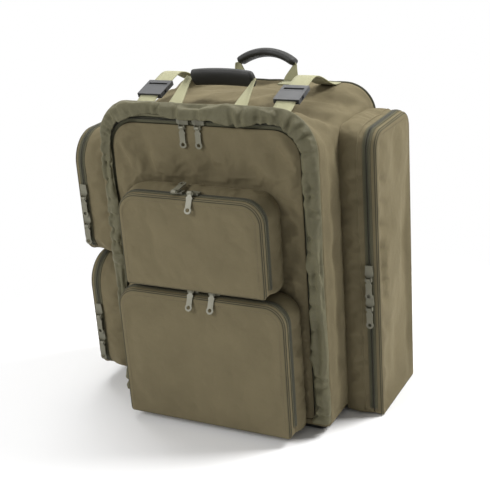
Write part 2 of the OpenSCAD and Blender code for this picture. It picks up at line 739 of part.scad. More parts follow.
// Zip halves that are sewn to the body, and those sewn to the pockets of the front panel
module body_zip_tapes() {
    color([0.17, 0.18, 0.14]) facing_front(0, front_y, panel_foot) main_half(1, cover_out - soft_gap);
    right_place() zip_half(right_size, -1);
    for (z = [left_foot, left_upper_foot]) left_place(z) zip_half(left_size, -1);
}
module panel_zip_tapes() {
    color([0.17, 0.18, 0.14]) facing_front(0, front_y, panel_foot) main_half(-1, panel_inset);
    upper_place() zip_half(upper_size, -1);
    lower_place() zip_half(lower_size, -1);
}

// Sliders with their pulls; the first of a pair is the left or lower one
module front_zip(part, turn) {
    if (part == "slider") slider(true);
    if (part == "pull") hung_pull(true, turn);
}
module side_zip(part) {
    if (part == "slider") slider(false);
    if (part == "pull") hung_pull(false, 0);
}

main_shell();
base_guard();
stiffener_boards();
zip_cover();
body_zip_tapes();
handle_tabs();
left_place(left_upper_foot) gusset(left_size);  // left_upper_gusset
left_place(left_foot) gusset(left_size);  // left_lower_gusset
right_place() gusset(right_size);  // right_gusset
back_pad();
shoulder_pads();
shoulder_webbing();
ladder_locks();
strap_front_webbing();
buckle_sockets();
strap_rear_webbing();
buckle_prong(-1);  // left_buckle_prong
buckle_prong(1);  // right_buckle_prong
handle_webbing(front_handle);  // front_handle_webbing
handle_grip(front_handle);  // front_handle_grip
handle_webbing(rear_handle);  // rear_handle_webbing
handle_grip(rear_handle);  // rear_handle_grip
front_panel();
panel_zip_tapes();
upper_place() gusset(upper_size);  // upper_gusset
lower_place() gusset(lower_size);  // lower_gusset
upper_place() lid(upper_size);  // upper_lid
upper_place() zip_half(upper_size, 1);  // upper_lid_zip_tape
lower_place() lid(lower_size);  // lower_lid
lower_place() zip_half(lower_size, 1);  // lower_lid_zip_tape
left_place(left_upper_foot) lid(left_size);  // left_upper_lid
left_place(left_upper_foot) zip_half(left_size, 1);  // left_upper_lid_zip_tape
left_place(left_foot) lid(left_size);  // left_lower_lid
left_place(left_foot) zip_half(left_size, 1);  // left_lower_lid_zip_tape
right_place() lid(right_size);  // right_lid
right_place() zip_half(right_size, 1);  // right_lid_zip_tape
for (part = ["slider", "pull"]) {
    on_main_zip(-1) front_zip(part, 0);
    on_main_zip(1) front_zip(part, 0);
    on_upper_zip(-1) front_zip(part, -pull_flip);
    on_upper_zip(1) front_zip(part, pull_droop);
    on_lower_zip(-1) front_zip(part, pull_droop);
    on_lower_zip(1) front_zip(part, pull_droop);
    on_left_upper_zip(-1) side_zip(part);
    on_left_upper_zip(1) side_zip(part);
    on_left_lower_zip(-1) side_zip(part);
    on_left_lower_zip(1) side_zip(part);
    on_right_zip(-1) side_zip(part);
    on_right_zip(1) side_zip(part);
}
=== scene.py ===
"""Looks of the tackle backpack: soft shells, zips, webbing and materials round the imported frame, in metres."""

import json
import math
from dataclasses import dataclass

import bmesh
import bpy
import numpy as np
from mathutils import Matrix, Vector, bvhtree, geometry, kdtree


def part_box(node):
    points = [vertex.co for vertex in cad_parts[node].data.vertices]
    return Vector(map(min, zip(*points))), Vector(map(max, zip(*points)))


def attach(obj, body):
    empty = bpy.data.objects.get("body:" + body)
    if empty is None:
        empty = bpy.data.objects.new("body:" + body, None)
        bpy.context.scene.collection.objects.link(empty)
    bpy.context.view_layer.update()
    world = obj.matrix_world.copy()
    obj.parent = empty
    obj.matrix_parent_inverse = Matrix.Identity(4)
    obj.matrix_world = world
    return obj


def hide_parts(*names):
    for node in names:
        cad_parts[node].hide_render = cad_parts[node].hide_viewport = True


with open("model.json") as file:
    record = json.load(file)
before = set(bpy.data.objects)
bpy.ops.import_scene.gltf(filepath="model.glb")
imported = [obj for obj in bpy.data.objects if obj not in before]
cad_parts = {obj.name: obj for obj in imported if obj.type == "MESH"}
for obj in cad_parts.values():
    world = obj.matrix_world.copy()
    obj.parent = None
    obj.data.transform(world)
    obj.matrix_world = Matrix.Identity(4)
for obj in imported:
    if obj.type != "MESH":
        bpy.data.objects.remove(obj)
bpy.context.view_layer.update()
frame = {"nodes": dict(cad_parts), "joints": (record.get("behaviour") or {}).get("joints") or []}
nodes = frame["nodes"]
scene = bpy.context.scene

# Sizes of the sewing, which the solids' boxes don't hold
TOP_R = 0.060
BASE_R = 0.014
BACK_EDGE_R = 0.026
FRONT_EDGE_R = 0.005
CHAIN_R = 0.058
CHAIN_SIDE = 0.024
CHAIN_DROP = 0.012
OPENING_OUT = 0.006
FRONT_POCKET_R = 0.040
RIGHT_POCKET_R = 0.036
LEFT_POCKET_R = 0.062
LEFT_FOOT_R = 0.040
FOOT_R = 0.008
LID_RIM = 0.018
LID_EDGE_R = 0.009
CLOTH_T = 0.0035
ZIP_GAP = 0.0003
ZIP_FOOT = 0.014
TAPE_W = 0.008
TAPE_T = 0.0012
BODY_TAPE_W = 0.0097
PANEL_TAPE_W = 0.0084
TOOTH_PITCH = 0.0026
TOOTH_W = 0.0030
TOOTH_H = 0.0024
PIPING_R = 0.0017
SHADE_SEAM_R = 0.0008
WALL_SEAM_R = 0.0012
BACK_BINDING_R = 0.0032
WEBBING_T = 0.0024
GRIP_L = 0.128
GRIP_W = 0.036
GRIP_T = 0.017
TAB_IN = 0.006
FOLD_BEAD_R = 0.0013
FLOOR_ROOM = 0.0006
CLOTH_FRAMES = 20

# World directions of a face's width, height and way out, as rows
FRONT = np.array([[1, 0, 0], [0, 0, 1], [0, -1, 0]], float)
RIGHT = np.array([[0, 1, 0], [0, 0, 1], [1, 0, 0]], float)
LEFT = np.array([[0, -1, 0], [0, 0, 1], [-1, 0, 0]], float)
BACK = np.array([[-1, 0, 0], [0, 0, 1], [0, 1, 0]], float)


# Noise and paths

def noise(points, seed):
    """Smooth noise from -1 to 1 at each row of points."""
    points = np.asarray(points, float)
    cell = np.floor(points).astype(np.int64)
    part = points - cell
    ease = part * part * (3 - 2 * part)
    total = np.zeros(len(points))
    for corner in np.ndindex(2, 2, 2):
        n = (cell + np.array(corner)) @ np.array([73856093, 19349663, 83492791]) + seed * 7919
        n = ((n ^ (n >> 13)) * 1274126177) & 0x7FFFFFFF
        n = ((n ^ (n >> 15)) * 668265263) & 0x7FFFFFFF
        weight = np.where(np.array(corner) == 1, ease, 1 - ease).prod(1)
        total += weight * (n / 0x3FFFFFFF - 1)
    return total


def layered_noise(points, scale, seed, layers=3):
    """Noise at a scale in metres and at finer ones, each half as strong as the one before."""
    points = np.asarray(points, float)
    return sum(noise(points * 2 ** k / scale, seed + k) / 2 ** k for k in range(layers))


def noise_over(seed, *columns):
    """Noise over up to three columns of coordinates; those left out are zero."""
    points = np.zeros((len(columns[0]), 3))
    for k, column in enumerate(columns):
        points[:, k] = column
    return noise(points, seed)


def path_lengths(points):
    """Distance along a path at each of its points."""
    steps = np.linalg.norm(np.diff(points, axis=0), axis=1)
    return np.concatenate([[0], np.cumsum(steps)])


def resample(points, step, *others):
    """The path with points about step apart, and any other rows that belong to them."""
    s = path_lengths(points)
    at = np.linspace(0, s[-1], max(2, round(s[-1] / step) + 1))
    rows = [np.stack([np.interp(at, s, column) for column in part.T], 1) for part in (points, *others)]
    return rows[0] if not others else rows


def unit(rows):
    return rows / np.maximum(np.linalg.norm(rows, axis=-1, keepdims=True), 1e-12)


def tangents(points, closed=False):
    if closed:
        return unit(np.roll(points, -1, 0) - np.roll(points, 1, 0))
    return unit(np.gradient(points, axis=0))


def soften(path, times):
    """The path with its bends worn round and its ends kept."""
    path = path.copy()
    for _ in range(times):
        path[1:-1] = (path[:-2] + 2 * path[1:-1] + path[2:]) / 4
    return path


def each(direction, path):
    """One direction for every point of a path."""
    return np.broadcast_to(np.array(direction, float), path.shape)


def raised(ring, height):
    """Flat points with a height, or one height each, out of their plane."""
    return np.column_stack([ring, np.broadcast_to(height, len(ring))])


def distance_to(points, line):
    """Distance from each point to the nearest of a line's points, flat or in space."""
    tree = kdtree.KDTree(len(line))
    pad = (0.0,) * (3 - np.shape(line)[1])
    for k, p in enumerate(line):
        tree.insert((*p, *pad), k)
    tree.balance()
    return np.array([tree.find((*p, *pad))[2] for p in points])


def inside(points, ring):
    """Whether each flat point lies inside a ring."""
    a, b = ring, np.roll(ring, -1, 0)
    x, y = points[:, :1], points[:, 1:2]
    crosses = (a[:, 1] > y) != (b[:, 1] > y)
    slope = (b[:, 0] - a[:, 0]) / np.where(b[:, 1] == a[:, 1], 1e-12, b[:, 1] - a[:, 1])
    return (crosses & (x < a[:, 0] + (y - a[:, 1]) * slope)).sum(1) % 2 == 1


# Folds

def fold_heights(points, folds):
    """Height of soft folds at each point; a fold is its two ends, its half width and its height."""
    total = np.zeros(len(points))
    for start, end, width, height in folds:
        a, run = np.array(start), np.array(end) - np.array(start)
        t = np.clip((points - a) @ run / (run @ run), 0, 1)
        off = np.linalg.norm(points - a - t[:, None] * run, axis=1) / width
        total += height * np.sin(math.pi * (0.1 + 0.8 * t)) * (1 - 0.4 * off ** 2) * np.exp(-0.5 * off ** 2)
    return total


# Outlines

@dataclass
class Outline:
    """A rounded rectangle that stands on its foot, with a fixed number of points on each stretch."""
    w: float
    h: float
    r_top: float
    r_foot: float
    step: float = 0.006

    def ring(self, inset=0.0, keep_foot=False):
        """Its points, drawn in by inset, from the right end of the foot up, over the top and back."""
        def share(length, least):
            return max(least, round(length / self.step))
        quarter = math.pi / 2
        foot_n, top_n = share(self.r_foot * quarter, 3), share(self.r_top * quarter, 4)
        side_n = share(self.h - self.r_top - self.r_foot, 2)
        over_n, under_n = share(self.w - 2 * self.r_top, 2), share(self.w - 2 * self.r_foot, 2)
        w, low = self.w - 2 * inset, 0 if keep_foot else inset
        h = self.h - inset
        rt, rf = max(self.r_top - inset, 0.001), max(self.r_foot - inset, 0.001)

        def corner(x, y, r, start, n):
            a = start + np.arange(n) / n * quarter
            return np.stack([x + r * np.cos(a), y + r * np.sin(a)], 1)

        def line(p, q, n):
            return np.array(p) + (np.array(q) - np.array(p)) * (np.arange(n) / n)[:, None]
        return np.vstack([
            corner(w / 2 - rf, low + rf, rf, -quarter, foot_n),
            line((w / 2, low + rf), (w / 2, h - rt), side_n),
            corner(w / 2 - rt, h - rt, rt, 0, top_n),
            line((w / 2 - rt, h), (rt - w / 2, h), over_n),
            corner(rt - w / 2, h - rt, rt, quarter, top_n),
            line((-w / 2, h - rt), (-w / 2, low + rf), side_n),
            corner(rf - w / 2, low + rf, rf, 2 * quarter, foot_n),
            line((rf - w / 2, low), (w / 2 - rf, low), under_n)])


def ring_normals(ring):
    t = tangents(ring, closed=True)
    return np.stack([t[:, 1], -t[:, 0]], 1)


# Meshes: a patch is its points, its faces and a UV in metres for each point

def skin(rows, closed=True):
    """A patch through rows of points, an array of shape (rows, points, 3)."""
    rows = np.asarray(rows, float)
    if closed:
        rows = np.concatenate([rows, rows[:, :1]], 1)
    count, n = rows.shape[:2]
    k, j = np.meshgrid(np.arange(count - 1), np.arange(n - 1), indexing="ij")
    a = (k * n + j).ravel()
    faces = np.stack([a, a + 1, a + n + 1, a + n], 1).tolist()
    u = path_lengths(rows.mean(0)) if not closed else path_lengths(rows[count // 2])
    v = np.concatenate([[0], np.cumsum(np.linalg.norm(np.diff(rows, axis=0), axis=2).mean(1))])
    uv = np.stack(np.broadcast_arrays(u[None], v[:, None]), -1).reshape(-1, 2)
    return rows.reshape(-1, 3), faces, uv


def capped(rows, ends=None):
    """A patch through rows of points, closed at its two ends, which are the rows' middles if not given."""
    rows = np.asarray(rows)
    if ends is None:
        ends = rows[0].mean(0), rows[-1].mean(0)
    first, last = (np.repeat(p[None, None], rows.shape[1], 1) for p in ends)
    return skin(np.concatenate([first, rows, last]))


def flat_fill(ring, step):
    """Flat points and triangles inside a ring, the ring's own points first."""
    low, high = ring.min(0), ring.max(0)
    rise = step * math.sqrt(3) / 2
    rows = []
    for k in range(int((high[1] - low[1]) / rise) + 1):
        across = np.arange(low[0] + (k % 2) * step / 2, high[0], step)
        rows.append(np.stack([across, np.full(len(across), low[1] + k * rise)], 1))
    grid = np.vstack(rows)
    grid = grid[inside(grid, ring)]
    grid = grid[distance_to(grid, ring) > 0.6 * step]
    points = np.vstack([ring, grid])
    n = len(ring)
    edges = [(j, (j + 1) % n) for j in range(n)]
    verts, _, faces, *_ = geometry.delaunay_2d_cdt([Vector(p) for p in points], edges, [], 1, 1e-7)
    return np.array([tuple(v) for v in verts]), [list(f) for f in faces]


def fill(ring, height, step):
    """A patch over a flat ring in a face's own frame, at a height out of it."""
    points, faces = flat_fill(ring, step)
    return raised(points, height), faces, points


def to_world(points, axes, origin):
    return np.asarray(points) @ axes + np.asarray(origin)


def to_local(points, axes, origin):
    return (np.asarray(points) - np.asarray(origin)) @ axes.T


def make(name, patches, material, body, replaces=(), weld=5e-5, axes=None, origin=(0, 0, 0), inner=None):
    """An object from patches, welded where they meet, that rides on a body."""
    points, faces, uvs, base = [], [], [], 0
    for verts, patch_faces, uv in patches:
        points.append(verts if axes is None else to_world(verts, axes, origin))
        faces += [[i + base for i in f] for f in patch_faces]
        uvs.append(uv)
        base += len(verts)
    mesh = bpy.data.meshes.new(name)
    mesh.from_pydata(np.vstack(points).tolist(), [], faces)
    uv = np.vstack(uvs)
    layer = mesh.uv_layers.new(name="UVMap")
    loops = np.zeros(len(mesh.loops), int)
    mesh.loops.foreach_get("vertex_index", loops)
    layer.data.foreach_set("uv", uv[loops].astype(np.float32).ravel())
    if weld:
        bm = bmesh.new()
        bm.from_mesh(mesh)
        bmesh.ops.remove_doubles(bm, verts=bm.verts, dist=weld)
        bmesh.ops.dissolve_degenerate(bm, edges=bm.edges, dist=1e-6)
        bm.to_mesh(mesh)
        bm.free()
    mesh.materials.append(material)
    if inner:
        mesh.materials.append(inner)
    mesh.shade_smooth()
    obj = bpy.data.objects.new(name, mesh)
    scene.collection.objects.link(obj)
    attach(obj, body)
    if replaces:
        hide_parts(*replaces)
    return obj


def coords(obj):
    co = np.zeros(len(obj.data.vertices) * 3)
    obj.data.vertices.foreach_get("co", co)
    return co.reshape(-1, 3)


def set_coords(obj, points):
    obj.data.vertices.foreach_set("co", np.asarray(points, np.float32).ravel())
    obj.data.update()


def normals_of(obj):
    n = np.zeros(len(obj.data.vertices) * 3)
    obj.data.vertices.foreach_get("normal", n)
    return n.reshape(-1, 3)


def tube(path, radius, sides=8, closed=False, out=None):
    """A patch round a path; out, if given, is which way up each of its points is."""
    path = np.asarray(path, float)
    t = tangents(path, closed)
    if out is None:
        out = np.broadcast_to(np.array([0.31, 0.17, 0.93]), path.shape)
    n = unit(out - t * (out * t).sum(1, keepdims=True))
    b = np.cross(t, n)
    radius = np.broadcast_to(radius, len(path))[:, None]
    angles = np.arange(sides) * 2 * math.pi / sides
    around = [path + radius * (n * math.cos(a) + b * math.sin(a)) for a in angles]
    rows = np.stack(around, 1)
    if closed:
        return skin(np.concatenate([rows, rows[:1]]))
    return capped(rows, (path[0], path[-1]))


def boxes(centres, along, across, up, size, low=0.0):
    """A patch of small blocks: size is along, across and up, and low is their start above their centres."""
    l, w, h = size
    corners = []
    for z in (low, low + h):
        trim = 0.72 if z > low else 1.0
        for x, y in ((-1, -1), (1, -1), (1, 1), (-1, 1)):
            corners.append(centres + along * (x * l / 2 * trim) + across * (y * w / 2 * trim) + up * z)
    points = np.stack(corners, 1).reshape(-1, 3)
    block = np.array([[3, 2, 1, 0], [4, 5, 6, 7], [0, 1, 5, 4], [1, 2, 6, 5], [2, 3, 7, 6], [3, 0, 4, 7]])
    faces = (np.arange(len(centres))[:, None, None] * 8 + block[None]).reshape(-1, 4).tolist()
    return points, faces, points[:, :2].copy()


def stitches(path, out, pitch=0.0042, length=0.0028, width=0.0007, height=0.0005):
    """A patch of thread dashes along a path."""
    points, ups = resample(path, pitch, out)
    t = tangents(points)
    ups = unit(ups)
    return boxes(points, t, np.cross(ups, t), ups, (length, width, height), -0.0001)


def ribbon(path, across, width, thick, out):
    """A patch for flat webbing: a rounded strip along a path, with its width along across."""
    path, across, out = (np.asarray(rows, float) for rows in (path, across, out))
    width = np.broadcast_to(width, len(path))[:, None]
    edge = thick * 0.5
    section = [(-0.5, 0.0), (-0.5, 0.7), (-0.25, 1.0), (0.0, 1.0), (0.25, 1.0), (0.5, 0.7),
               (0.5, 0.0), (0.5, -0.7), (0.25, -1.0), (0.0, -1.0), (-0.25, -1.0), (-0.5, -0.7)]
    rows = np.stack([path + across * (width * x - np.sign(x) * edge * 0.4 * abs(z) * (abs(x) == 0.5))
                     + out * (z * edge) for x, z in section], 1)
    return capped(rows, (path[0], path[-1]))


# Cloth

cloth_jobs = []


def hang_up(obj, held, pressure, slack, cap, stiff=0.5):
    """Queue a piece for the simulation, with the held points fixed and its movement kept under cap."""
    cloth_jobs.append((obj, held, pressure, slack, cap, stiff))


def simulate(frames):
    """Blow up every queued piece a little, with slack in its cloth, and keep the shape."""
    rest = []
    for obj, held, pressure, slack, cap, stiff in cloth_jobs:
        group = obj.vertex_groups.new(name="held")
        group.add(np.flatnonzero(held).tolist(), 1.0, "REPLACE")
        cloth = obj.modifiers.new("Cloth", "CLOTH")
        s = cloth.settings
        s.quality = 6
        s.mass = 0.15
        s.tension_stiffness = s.compression_stiffness = 20
        s.shear_stiffness = 8
        s.bending_stiffness = stiff
        s.air_damping = 2
        s.use_pressure = True
        s.uniform_pressure_force = pressure
        s.shrink_min = -slack
        s.vertex_group_mass = "held"
        s.effector_weights.gravity = 0
        cloth.collision_settings.use_collision = False
        cloth.collision_settings.use_self_collision = False
        cloth.point_cache.frame_start = 1
        cloth.point_cache.frame_end = frames
        rest.append(coords(obj))
    for f in range(1, frames + 1):
        scene.frame_set(f)
    graph = bpy.context.evaluated_depsgraph_get()
    for (obj, _, _, _, cap, _), start in zip(cloth_jobs, rest):
        shape = np.zeros(len(start) * 3)
        obj.evaluated_get(graph).data.vertices.foreach_get("co", shape)
        move = shape.reshape(-1, 3) - start
        far = np.linalg.norm(move, axis=1, keepdims=True)
        print("cloth", obj.name, len(start), "moved at most", round(float(far.max()) * 1000, 1), "mm")
        move *= np.minimum(1, cap / max(np.percentile(far, 99.5), 1e-9))
        far = np.linalg.norm(move, axis=1, keepdims=True)
        move *= np.minimum(1, cap / np.maximum(far, 1e-9))
        obj.modifiers.remove(obj.modifiers["Cloth"])
        obj.vertex_groups.clear()
        set_coords(obj, start + move)
    scene.frame_set(1)


def stand_on_floor(obj):
    """Flatten what a piece's swell pushes into the floor."""
    points = coords(obj)
    points[:, 2] = np.maximum(points[:, 2], FLOOR_ROOM)
    set_coords(obj, points)


def smooth(obj):
    rounding = obj.modifiers.new("Smooth", "SUBSURF")
    rounding.levels = rounding.render_levels = 1


def thicken(obj):
    """Give a skin its thickness, inwards, and smooth it."""
    solid = obj.modifiers.new("Thickness", "SOLIDIFY")
    solid.thickness = CLOTH_T
    solid.offset = -1
    solid.material_offset = len(obj.data.materials) - 1
    solid.material_offset_rim = 0
    smooth(obj)


# Materials

class Shader:
    """A principled material with short calls for its nodes."""

    def __init__(self, name, **values):
        self.material = bpy.data.materials.new(name)
        self.material.use_nodes = True
        self.tree = self.material.node_tree
        self.bsdf = self.tree.nodes["Principled BSDF"]
        for socket, value in values.items():
            self.bsdf.inputs[socket.replace("_", " ")].default_value = value

    def node(self, kind, settings=None, **links):
        n = self.tree.nodes.new(kind)
        for key, value in (settings or {}).items():
            setattr(n, key, value)
        for socket, value in links.items():
            key = int(socket[1:]) if socket[1:].isdigit() else socket.replace("_", " ")
            self.set(n.inputs[key], value)
        return n

    def set(self, socket, value):
        if isinstance(value, bpy.types.NodeSocket):
            self.tree.links.new(value, socket)
        else:
            socket.default_value = value

    def math(self, operation, a, b=0.0):
        return self.node("ShaderNodeMath", {"operation": operation}, _0=a, _1=b).outputs[0]

    def noise(self, scale, detail):
        at = self.node("ShaderNodeTexCoord").outputs["Object"]
        return self.node("ShaderNodeTexNoise", None, Vector=at, Scale=scale, Detail=detail).outputs["Fac"]

    def wave(self, pitch, direction):
        """Ridges a pitch apart across the cloth's own u or v."""
        at = self.node("ShaderNodeTexCoord").outputs["UV"]
        return self.node("ShaderNodeTexWave", {"bands_direction": direction}, Vector=at,
                         Scale=0.31416 / pitch).outputs["Fac"]

    def blend(self, fac, a, b):
        mix = self.node("ShaderNodeMix", {"data_type": "RGBA"})
        self.set(mix.inputs["Factor"], fac)
        self.set(mix.inputs["A"], a)
        self.set(mix.inputs["B"], b)
        return mix.outputs["Result"]

    def spread(self, value, low, high, to_low=0.0, to_high=1.0):
        return self.node("ShaderNodeMapRange", None, Value=value, From_Min=low, From_Max=high, To_Min=to_low,
                         To_Max=to_high).outputs["Result"]

    def bump(self, height, strength, distance):
        """Raise the surface by a height, on top of what earlier calls raised."""
        n = self.node("ShaderNodeBump", None, Height=height, Strength=strength, Distance=distance)
        for link in list(self.bsdf.inputs["Normal"].links):
            self.tree.links.new(link.from_socket, n.inputs["Normal"])
        self.tree.links.new(n.outputs["Normal"], self.bsdf.inputs["Normal"])

    def colour(self, value):
        self.set(self.bsdf.inputs["Base Color"], value)


def shade(colour, factor):
    return tuple(min(1.0, c * factor) for c in colour) + (1.0,)


def woven(name, colour, pitch=0.0011, depth=0.00025, mottle=0.16, ribs=None, rough=0.86, sheen=0.12, wear=0.05,
          crumple=0.0):
    """Woven cloth: threads both ways, or ribs one way, with patches of tone, worn ridges and creases."""
    s = Shader(name, Roughness=rough, Sheen_Weight=sheen, Sheen_Roughness=0.45, Sheen_Tint=shade(colour, 5),
               Specular_IOR_Level=0.14)
    warp, weft = s.wave(pitch, "X"), s.wave(pitch, "Y")
    threads = s.math("MULTIPLY", warp, weft) if ribs is None else s.math("MAXIMUM", s.wave(ribs, "X"), weft)
    patches = s.noise(16, 4)
    flecks = s.noise(900, 2)
    tone = s.math("ADD", s.math("MULTIPLY", patches, 0.7), s.math("MULTIPLY", flecks, 0.3))
    base = s.blend(s.spread(tone, 0.32, 0.68), shade(colour, 1 - mottle), shade(colour, 1 + mottle))
    # Between the threads the colour falls to 0.62 of the cloth's: painted shade in the weave's grooves
    groove_shaded = s.blend(s.spread(threads, 0.0, 0.5), shade(colour, 0.62), base)
    edge = s.node("ShaderNodeNewGeometry").outputs["Pointiness"]
    worn = s.math("MULTIPLY", s.spread(edge, 0.505, 0.56), wear)
    s.colour(s.blend(worn, groove_shaded, shade(colour, 1.7)))
    if crumple:
        creased = s.math("ABSOLUTE", s.math("SUBTRACT", s.noise(24, 3), 0.5))
        s.bump(creased, 0.8, crumple)
    s.bump(s.math("ADD", threads, s.math("MULTIPLY", flecks, 0.4)), 0.55, depth)
    return s.material


def moulded(name, colour, rough, metallic=0.0, grain=900, depth=0.00006, wear=0.0, worn=(0.5, 0.5, 0.45),
            gloss=0.4):
    """Moulded plastic, rubber or painted metal: fine grain, smudged gloss and edges that rub pale."""
    s = Shader(name, Metallic=metallic, Specular_IOR_Level=gloss)
    fine, smudge = s.noise(grain, 3), s.noise(60, 4)
    base = s.blend(s.spread(smudge, 0.3, 0.7), shade(colour, 0.85), shade(colour, 1.15))
    edge = s.node("ShaderNodeNewGeometry").outputs["Pointiness"]
    rubbed = s.math("MULTIPLY", s.spread(edge, 0.52, 0.6), wear)
    s.colour(s.blend(rubbed, base, (*worn, 1.0)))
    s.set(s.bsdf.inputs["Roughness"], s.spread(smudge, 0.3, 0.7, rough - 0.07, rough + 0.07))
    s.bump(fine, 0.5, depth)
    return s.material


OLIVE = (0.176, 0.147, 0.084)
bag_cloth = woven("bag_cloth", OLIVE, crumple=0.005)
cover_cloth = woven("cover_cloth", (0.138, 0.128, 0.076), pitch=0.0009, rough=0.52, mottle=0.22,
                    crumple=0.012)
lining_cloth = woven("lining_cloth", (0.050, 0.045, 0.034), pitch=0.0008, wear=0.0)
pad_cloth = woven("pad_cloth", (0.040, 0.038, 0.030), pitch=0.0030, depth=0.0008)
base_cloth = woven("base_cloth", (0.016, 0.016, 0.014), pitch=0.0020, rough=0.6, wear=0.1)
tape_cloth = woven("tape_cloth", (0.080, 0.077, 0.048), ribs=0.0009, wear=0.0)
webbing_cloth = woven("webbing_cloth", (0.350, 0.340, 0.210), ribs=0.0026, depth=0.0005, mottle=0.1)
dark_webbing = woven("dark_webbing", (0.042, 0.042, 0.032), ribs=0.0026, depth=0.0005)
# Dark binding cloth; on the lid seams the same colour is painted shade
binding_and_shade_cloth = woven("binding_and_shade_cloth", (0.052, 0.050, 0.034), ribs=0.0014, wear=0.0)
piping_cloth = woven("piping_cloth", (0.165, 0.138, 0.080), ribs=0.0014, wear=0.0)
thread = moulded("thread", (0.150, 0.125, 0.080), 0.8)
pale_thread = moulded("pale_thread", (0.30, 0.30, 0.20), 0.8)
teeth_plastic = moulded("teeth_plastic", (0.052, 0.050, 0.033), 0.5)
grip_rubber = moulded("grip_rubber", (0.0145, 0.0145, 0.0128), 0.62, grain=1400, depth=0.0001)
buckle_plastic = moulded("buckle_plastic", (0.016, 0.017, 0.019), 0.36, wear=0.3, worn=(0.12, 0.12, 0.12),
                         gloss=0.22)
board_plastic = moulded("board_plastic", (0.020, 0.020, 0.020), 0.6)
zip_metal = moulded("zip_metal", (0.105, 0.100, 0.068), 0.44, metallic=0.12, wear=0.25,
                    worn=(0.30, 0.29, 0.22))


# Main dimensions from the frame

def node_points(node):
    return np.array([v.co for v in nodes[node].data.vertices])


shell_low, shell_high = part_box("main_shell")
_, cover_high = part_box("zip_cover")
panel_low, panel_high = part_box("front_panel")
FRONT_Y, BACK_Y, SIDE_X = shell_low.y, shell_high.y, shell_high.x
SHELL_FOOT, SHELL_TOP = shell_low.z, shell_high.z
PANEL_FOOT, PANEL_Y = panel_low.z, panel_low.y
CHAIN_HALF = SIDE_X - CHAIN_SIDE
CHAIN_TOP = SHELL_TOP - CHAIN_DROP


@dataclass
class Pocket:
    """A zipped pocket: the body that carries it, and its size in the frame of the face that it is on."""
    name: str
    axes: np.ndarray
    body: str
    r_top: float
    r_foot: float
    crown: float
    seed: int

    def __post_init__(self):
        def reach(node):
            low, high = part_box(node)
            ends = np.array([low, high]) @ self.axes.T
            return ends.min(0), ends.max(0)
        wall_low, wall_high = reach(self.name + "_gusset")
        _, lid_high = reach(self.name + "_lid")
        self.w, self.h = (wall_high - wall_low)[:2]
        self.depth = lid_high[2] - wall_low[2]
        self.seam = self.depth - LID_RIM
        middle = np.array([(wall_low[0] + wall_high[0]) / 2, wall_low[1], wall_low[2]])
        self.origin = middle @ self.axes
        self.outline = Outline(self.w, self.h, self.r_top, self.r_foot)
        self.floor_half = self.w / 2 - self.r_foot - 0.004


pockets = [
    Pocket("upper", FRONT, "panel", FRONT_POCKET_R, FOOT_R, 0.007, 11),
    Pocket("lower", FRONT, "panel", FRONT_POCKET_R, FOOT_R, 0.008, 23),
    Pocket("left_upper", LEFT, "bag", LEFT_POCKET_R, LEFT_FOOT_R, 0.010, 37),
    Pocket("left_lower", LEFT, "bag", LEFT_POCKET_R, LEFT_FOOT_R, 0.010, 41),
    Pocket("right", RIGHT, "bag", RIGHT_POCKET_R, FOOT_R, 0.0035, 53),
]


def floor_share(pocket, ring):
    """1 at a pocket's floor and 0 elsewhere, with a short way between."""
    low = np.clip((0.004 - ring[:, 1]) / 0.004, 0, 1)
    middle = np.clip((pocket.floor_half + 0.003 - abs(ring[:, 0])) / 0.006, 0, 1)
    return low * middle


# Main shell: front border, walls and back, in one skin

def shell_ring(inset, y, shape):
    ring = shape.ring(inset)
    return np.column_stack([ring[:, 0], np.full(len(ring), y), ring[:, 1] + SHELL_FOOT])


def back_edge_ring(degrees, shape):
    """A ring on the rounded edge of the shell's back, from 0 degrees at its walls to 90 at its back."""
    a = math.radians(degrees)
    return shell_ring(BACK_EDGE_R * (1 - math.cos(a)), BACK_Y - BACK_EDGE_R * (1 - math.sin(a)), shape)


# A fold is its two ends, its half width and its height
SHELL_FOLDS = [
    ((0.168, -0.134, 0.598), (0.217, -0.070, 0.570), 0.012, 0.007),
    ((0.150, -0.098, 0.600), (0.216, -0.030, 0.572), 0.014, -0.008),
    ((0.175, -0.050, 0.598), (0.222, 0.020, 0.556), 0.016, 0.007),
    ((0.115, 0.000, 0.600), (0.200, 0.060, 0.588), 0.018, -0.007),
    ((0.150, 0.050, 0.600), (0.214, 0.095, 0.575), 0.016, 0.006),
    ((-0.045, -0.040, 0.600), (0.060, 0.030, 0.600), 0.018, 0.005),
    ((-0.095, 0.020, 0.600), (0.010, 0.070, 0.600), 0.016, -0.005),
    ((0.045, -0.070, 0.600), (0.105, 0.020, 0.600), 0.014, 0.005),
    ((-0.165, -0.130, 0.598), (-0.215, -0.060, 0.572), 0.013, 0.007),
    ((-0.150, -0.070, 0.600), (-0.217, 0.020, 0.570), 0.016, -0.007),
    ((-0.160, 0.030, 0.599), (-0.214, 0.090, 0.575), 0.016, 0.006),
    ((0.223, -0.131, 0.560), (0.223, -0.127, 0.050), 0.010, 0.005),
    ((0.223, -0.108, 0.530), (0.223, -0.101, 0.060), 0.009, -0.005),
    ((0.223, -0.083, 0.550), (0.223, -0.085, 0.080), 0.009, 0.004),
    ((-0.223, -0.132, 0.550), (-0.223, -0.128, 0.060), 0.009, 0.004),
    ((-0.223, 0.124, 0.540), (-0.223, 0.128, 0.080), 0.011, 0.004),
]


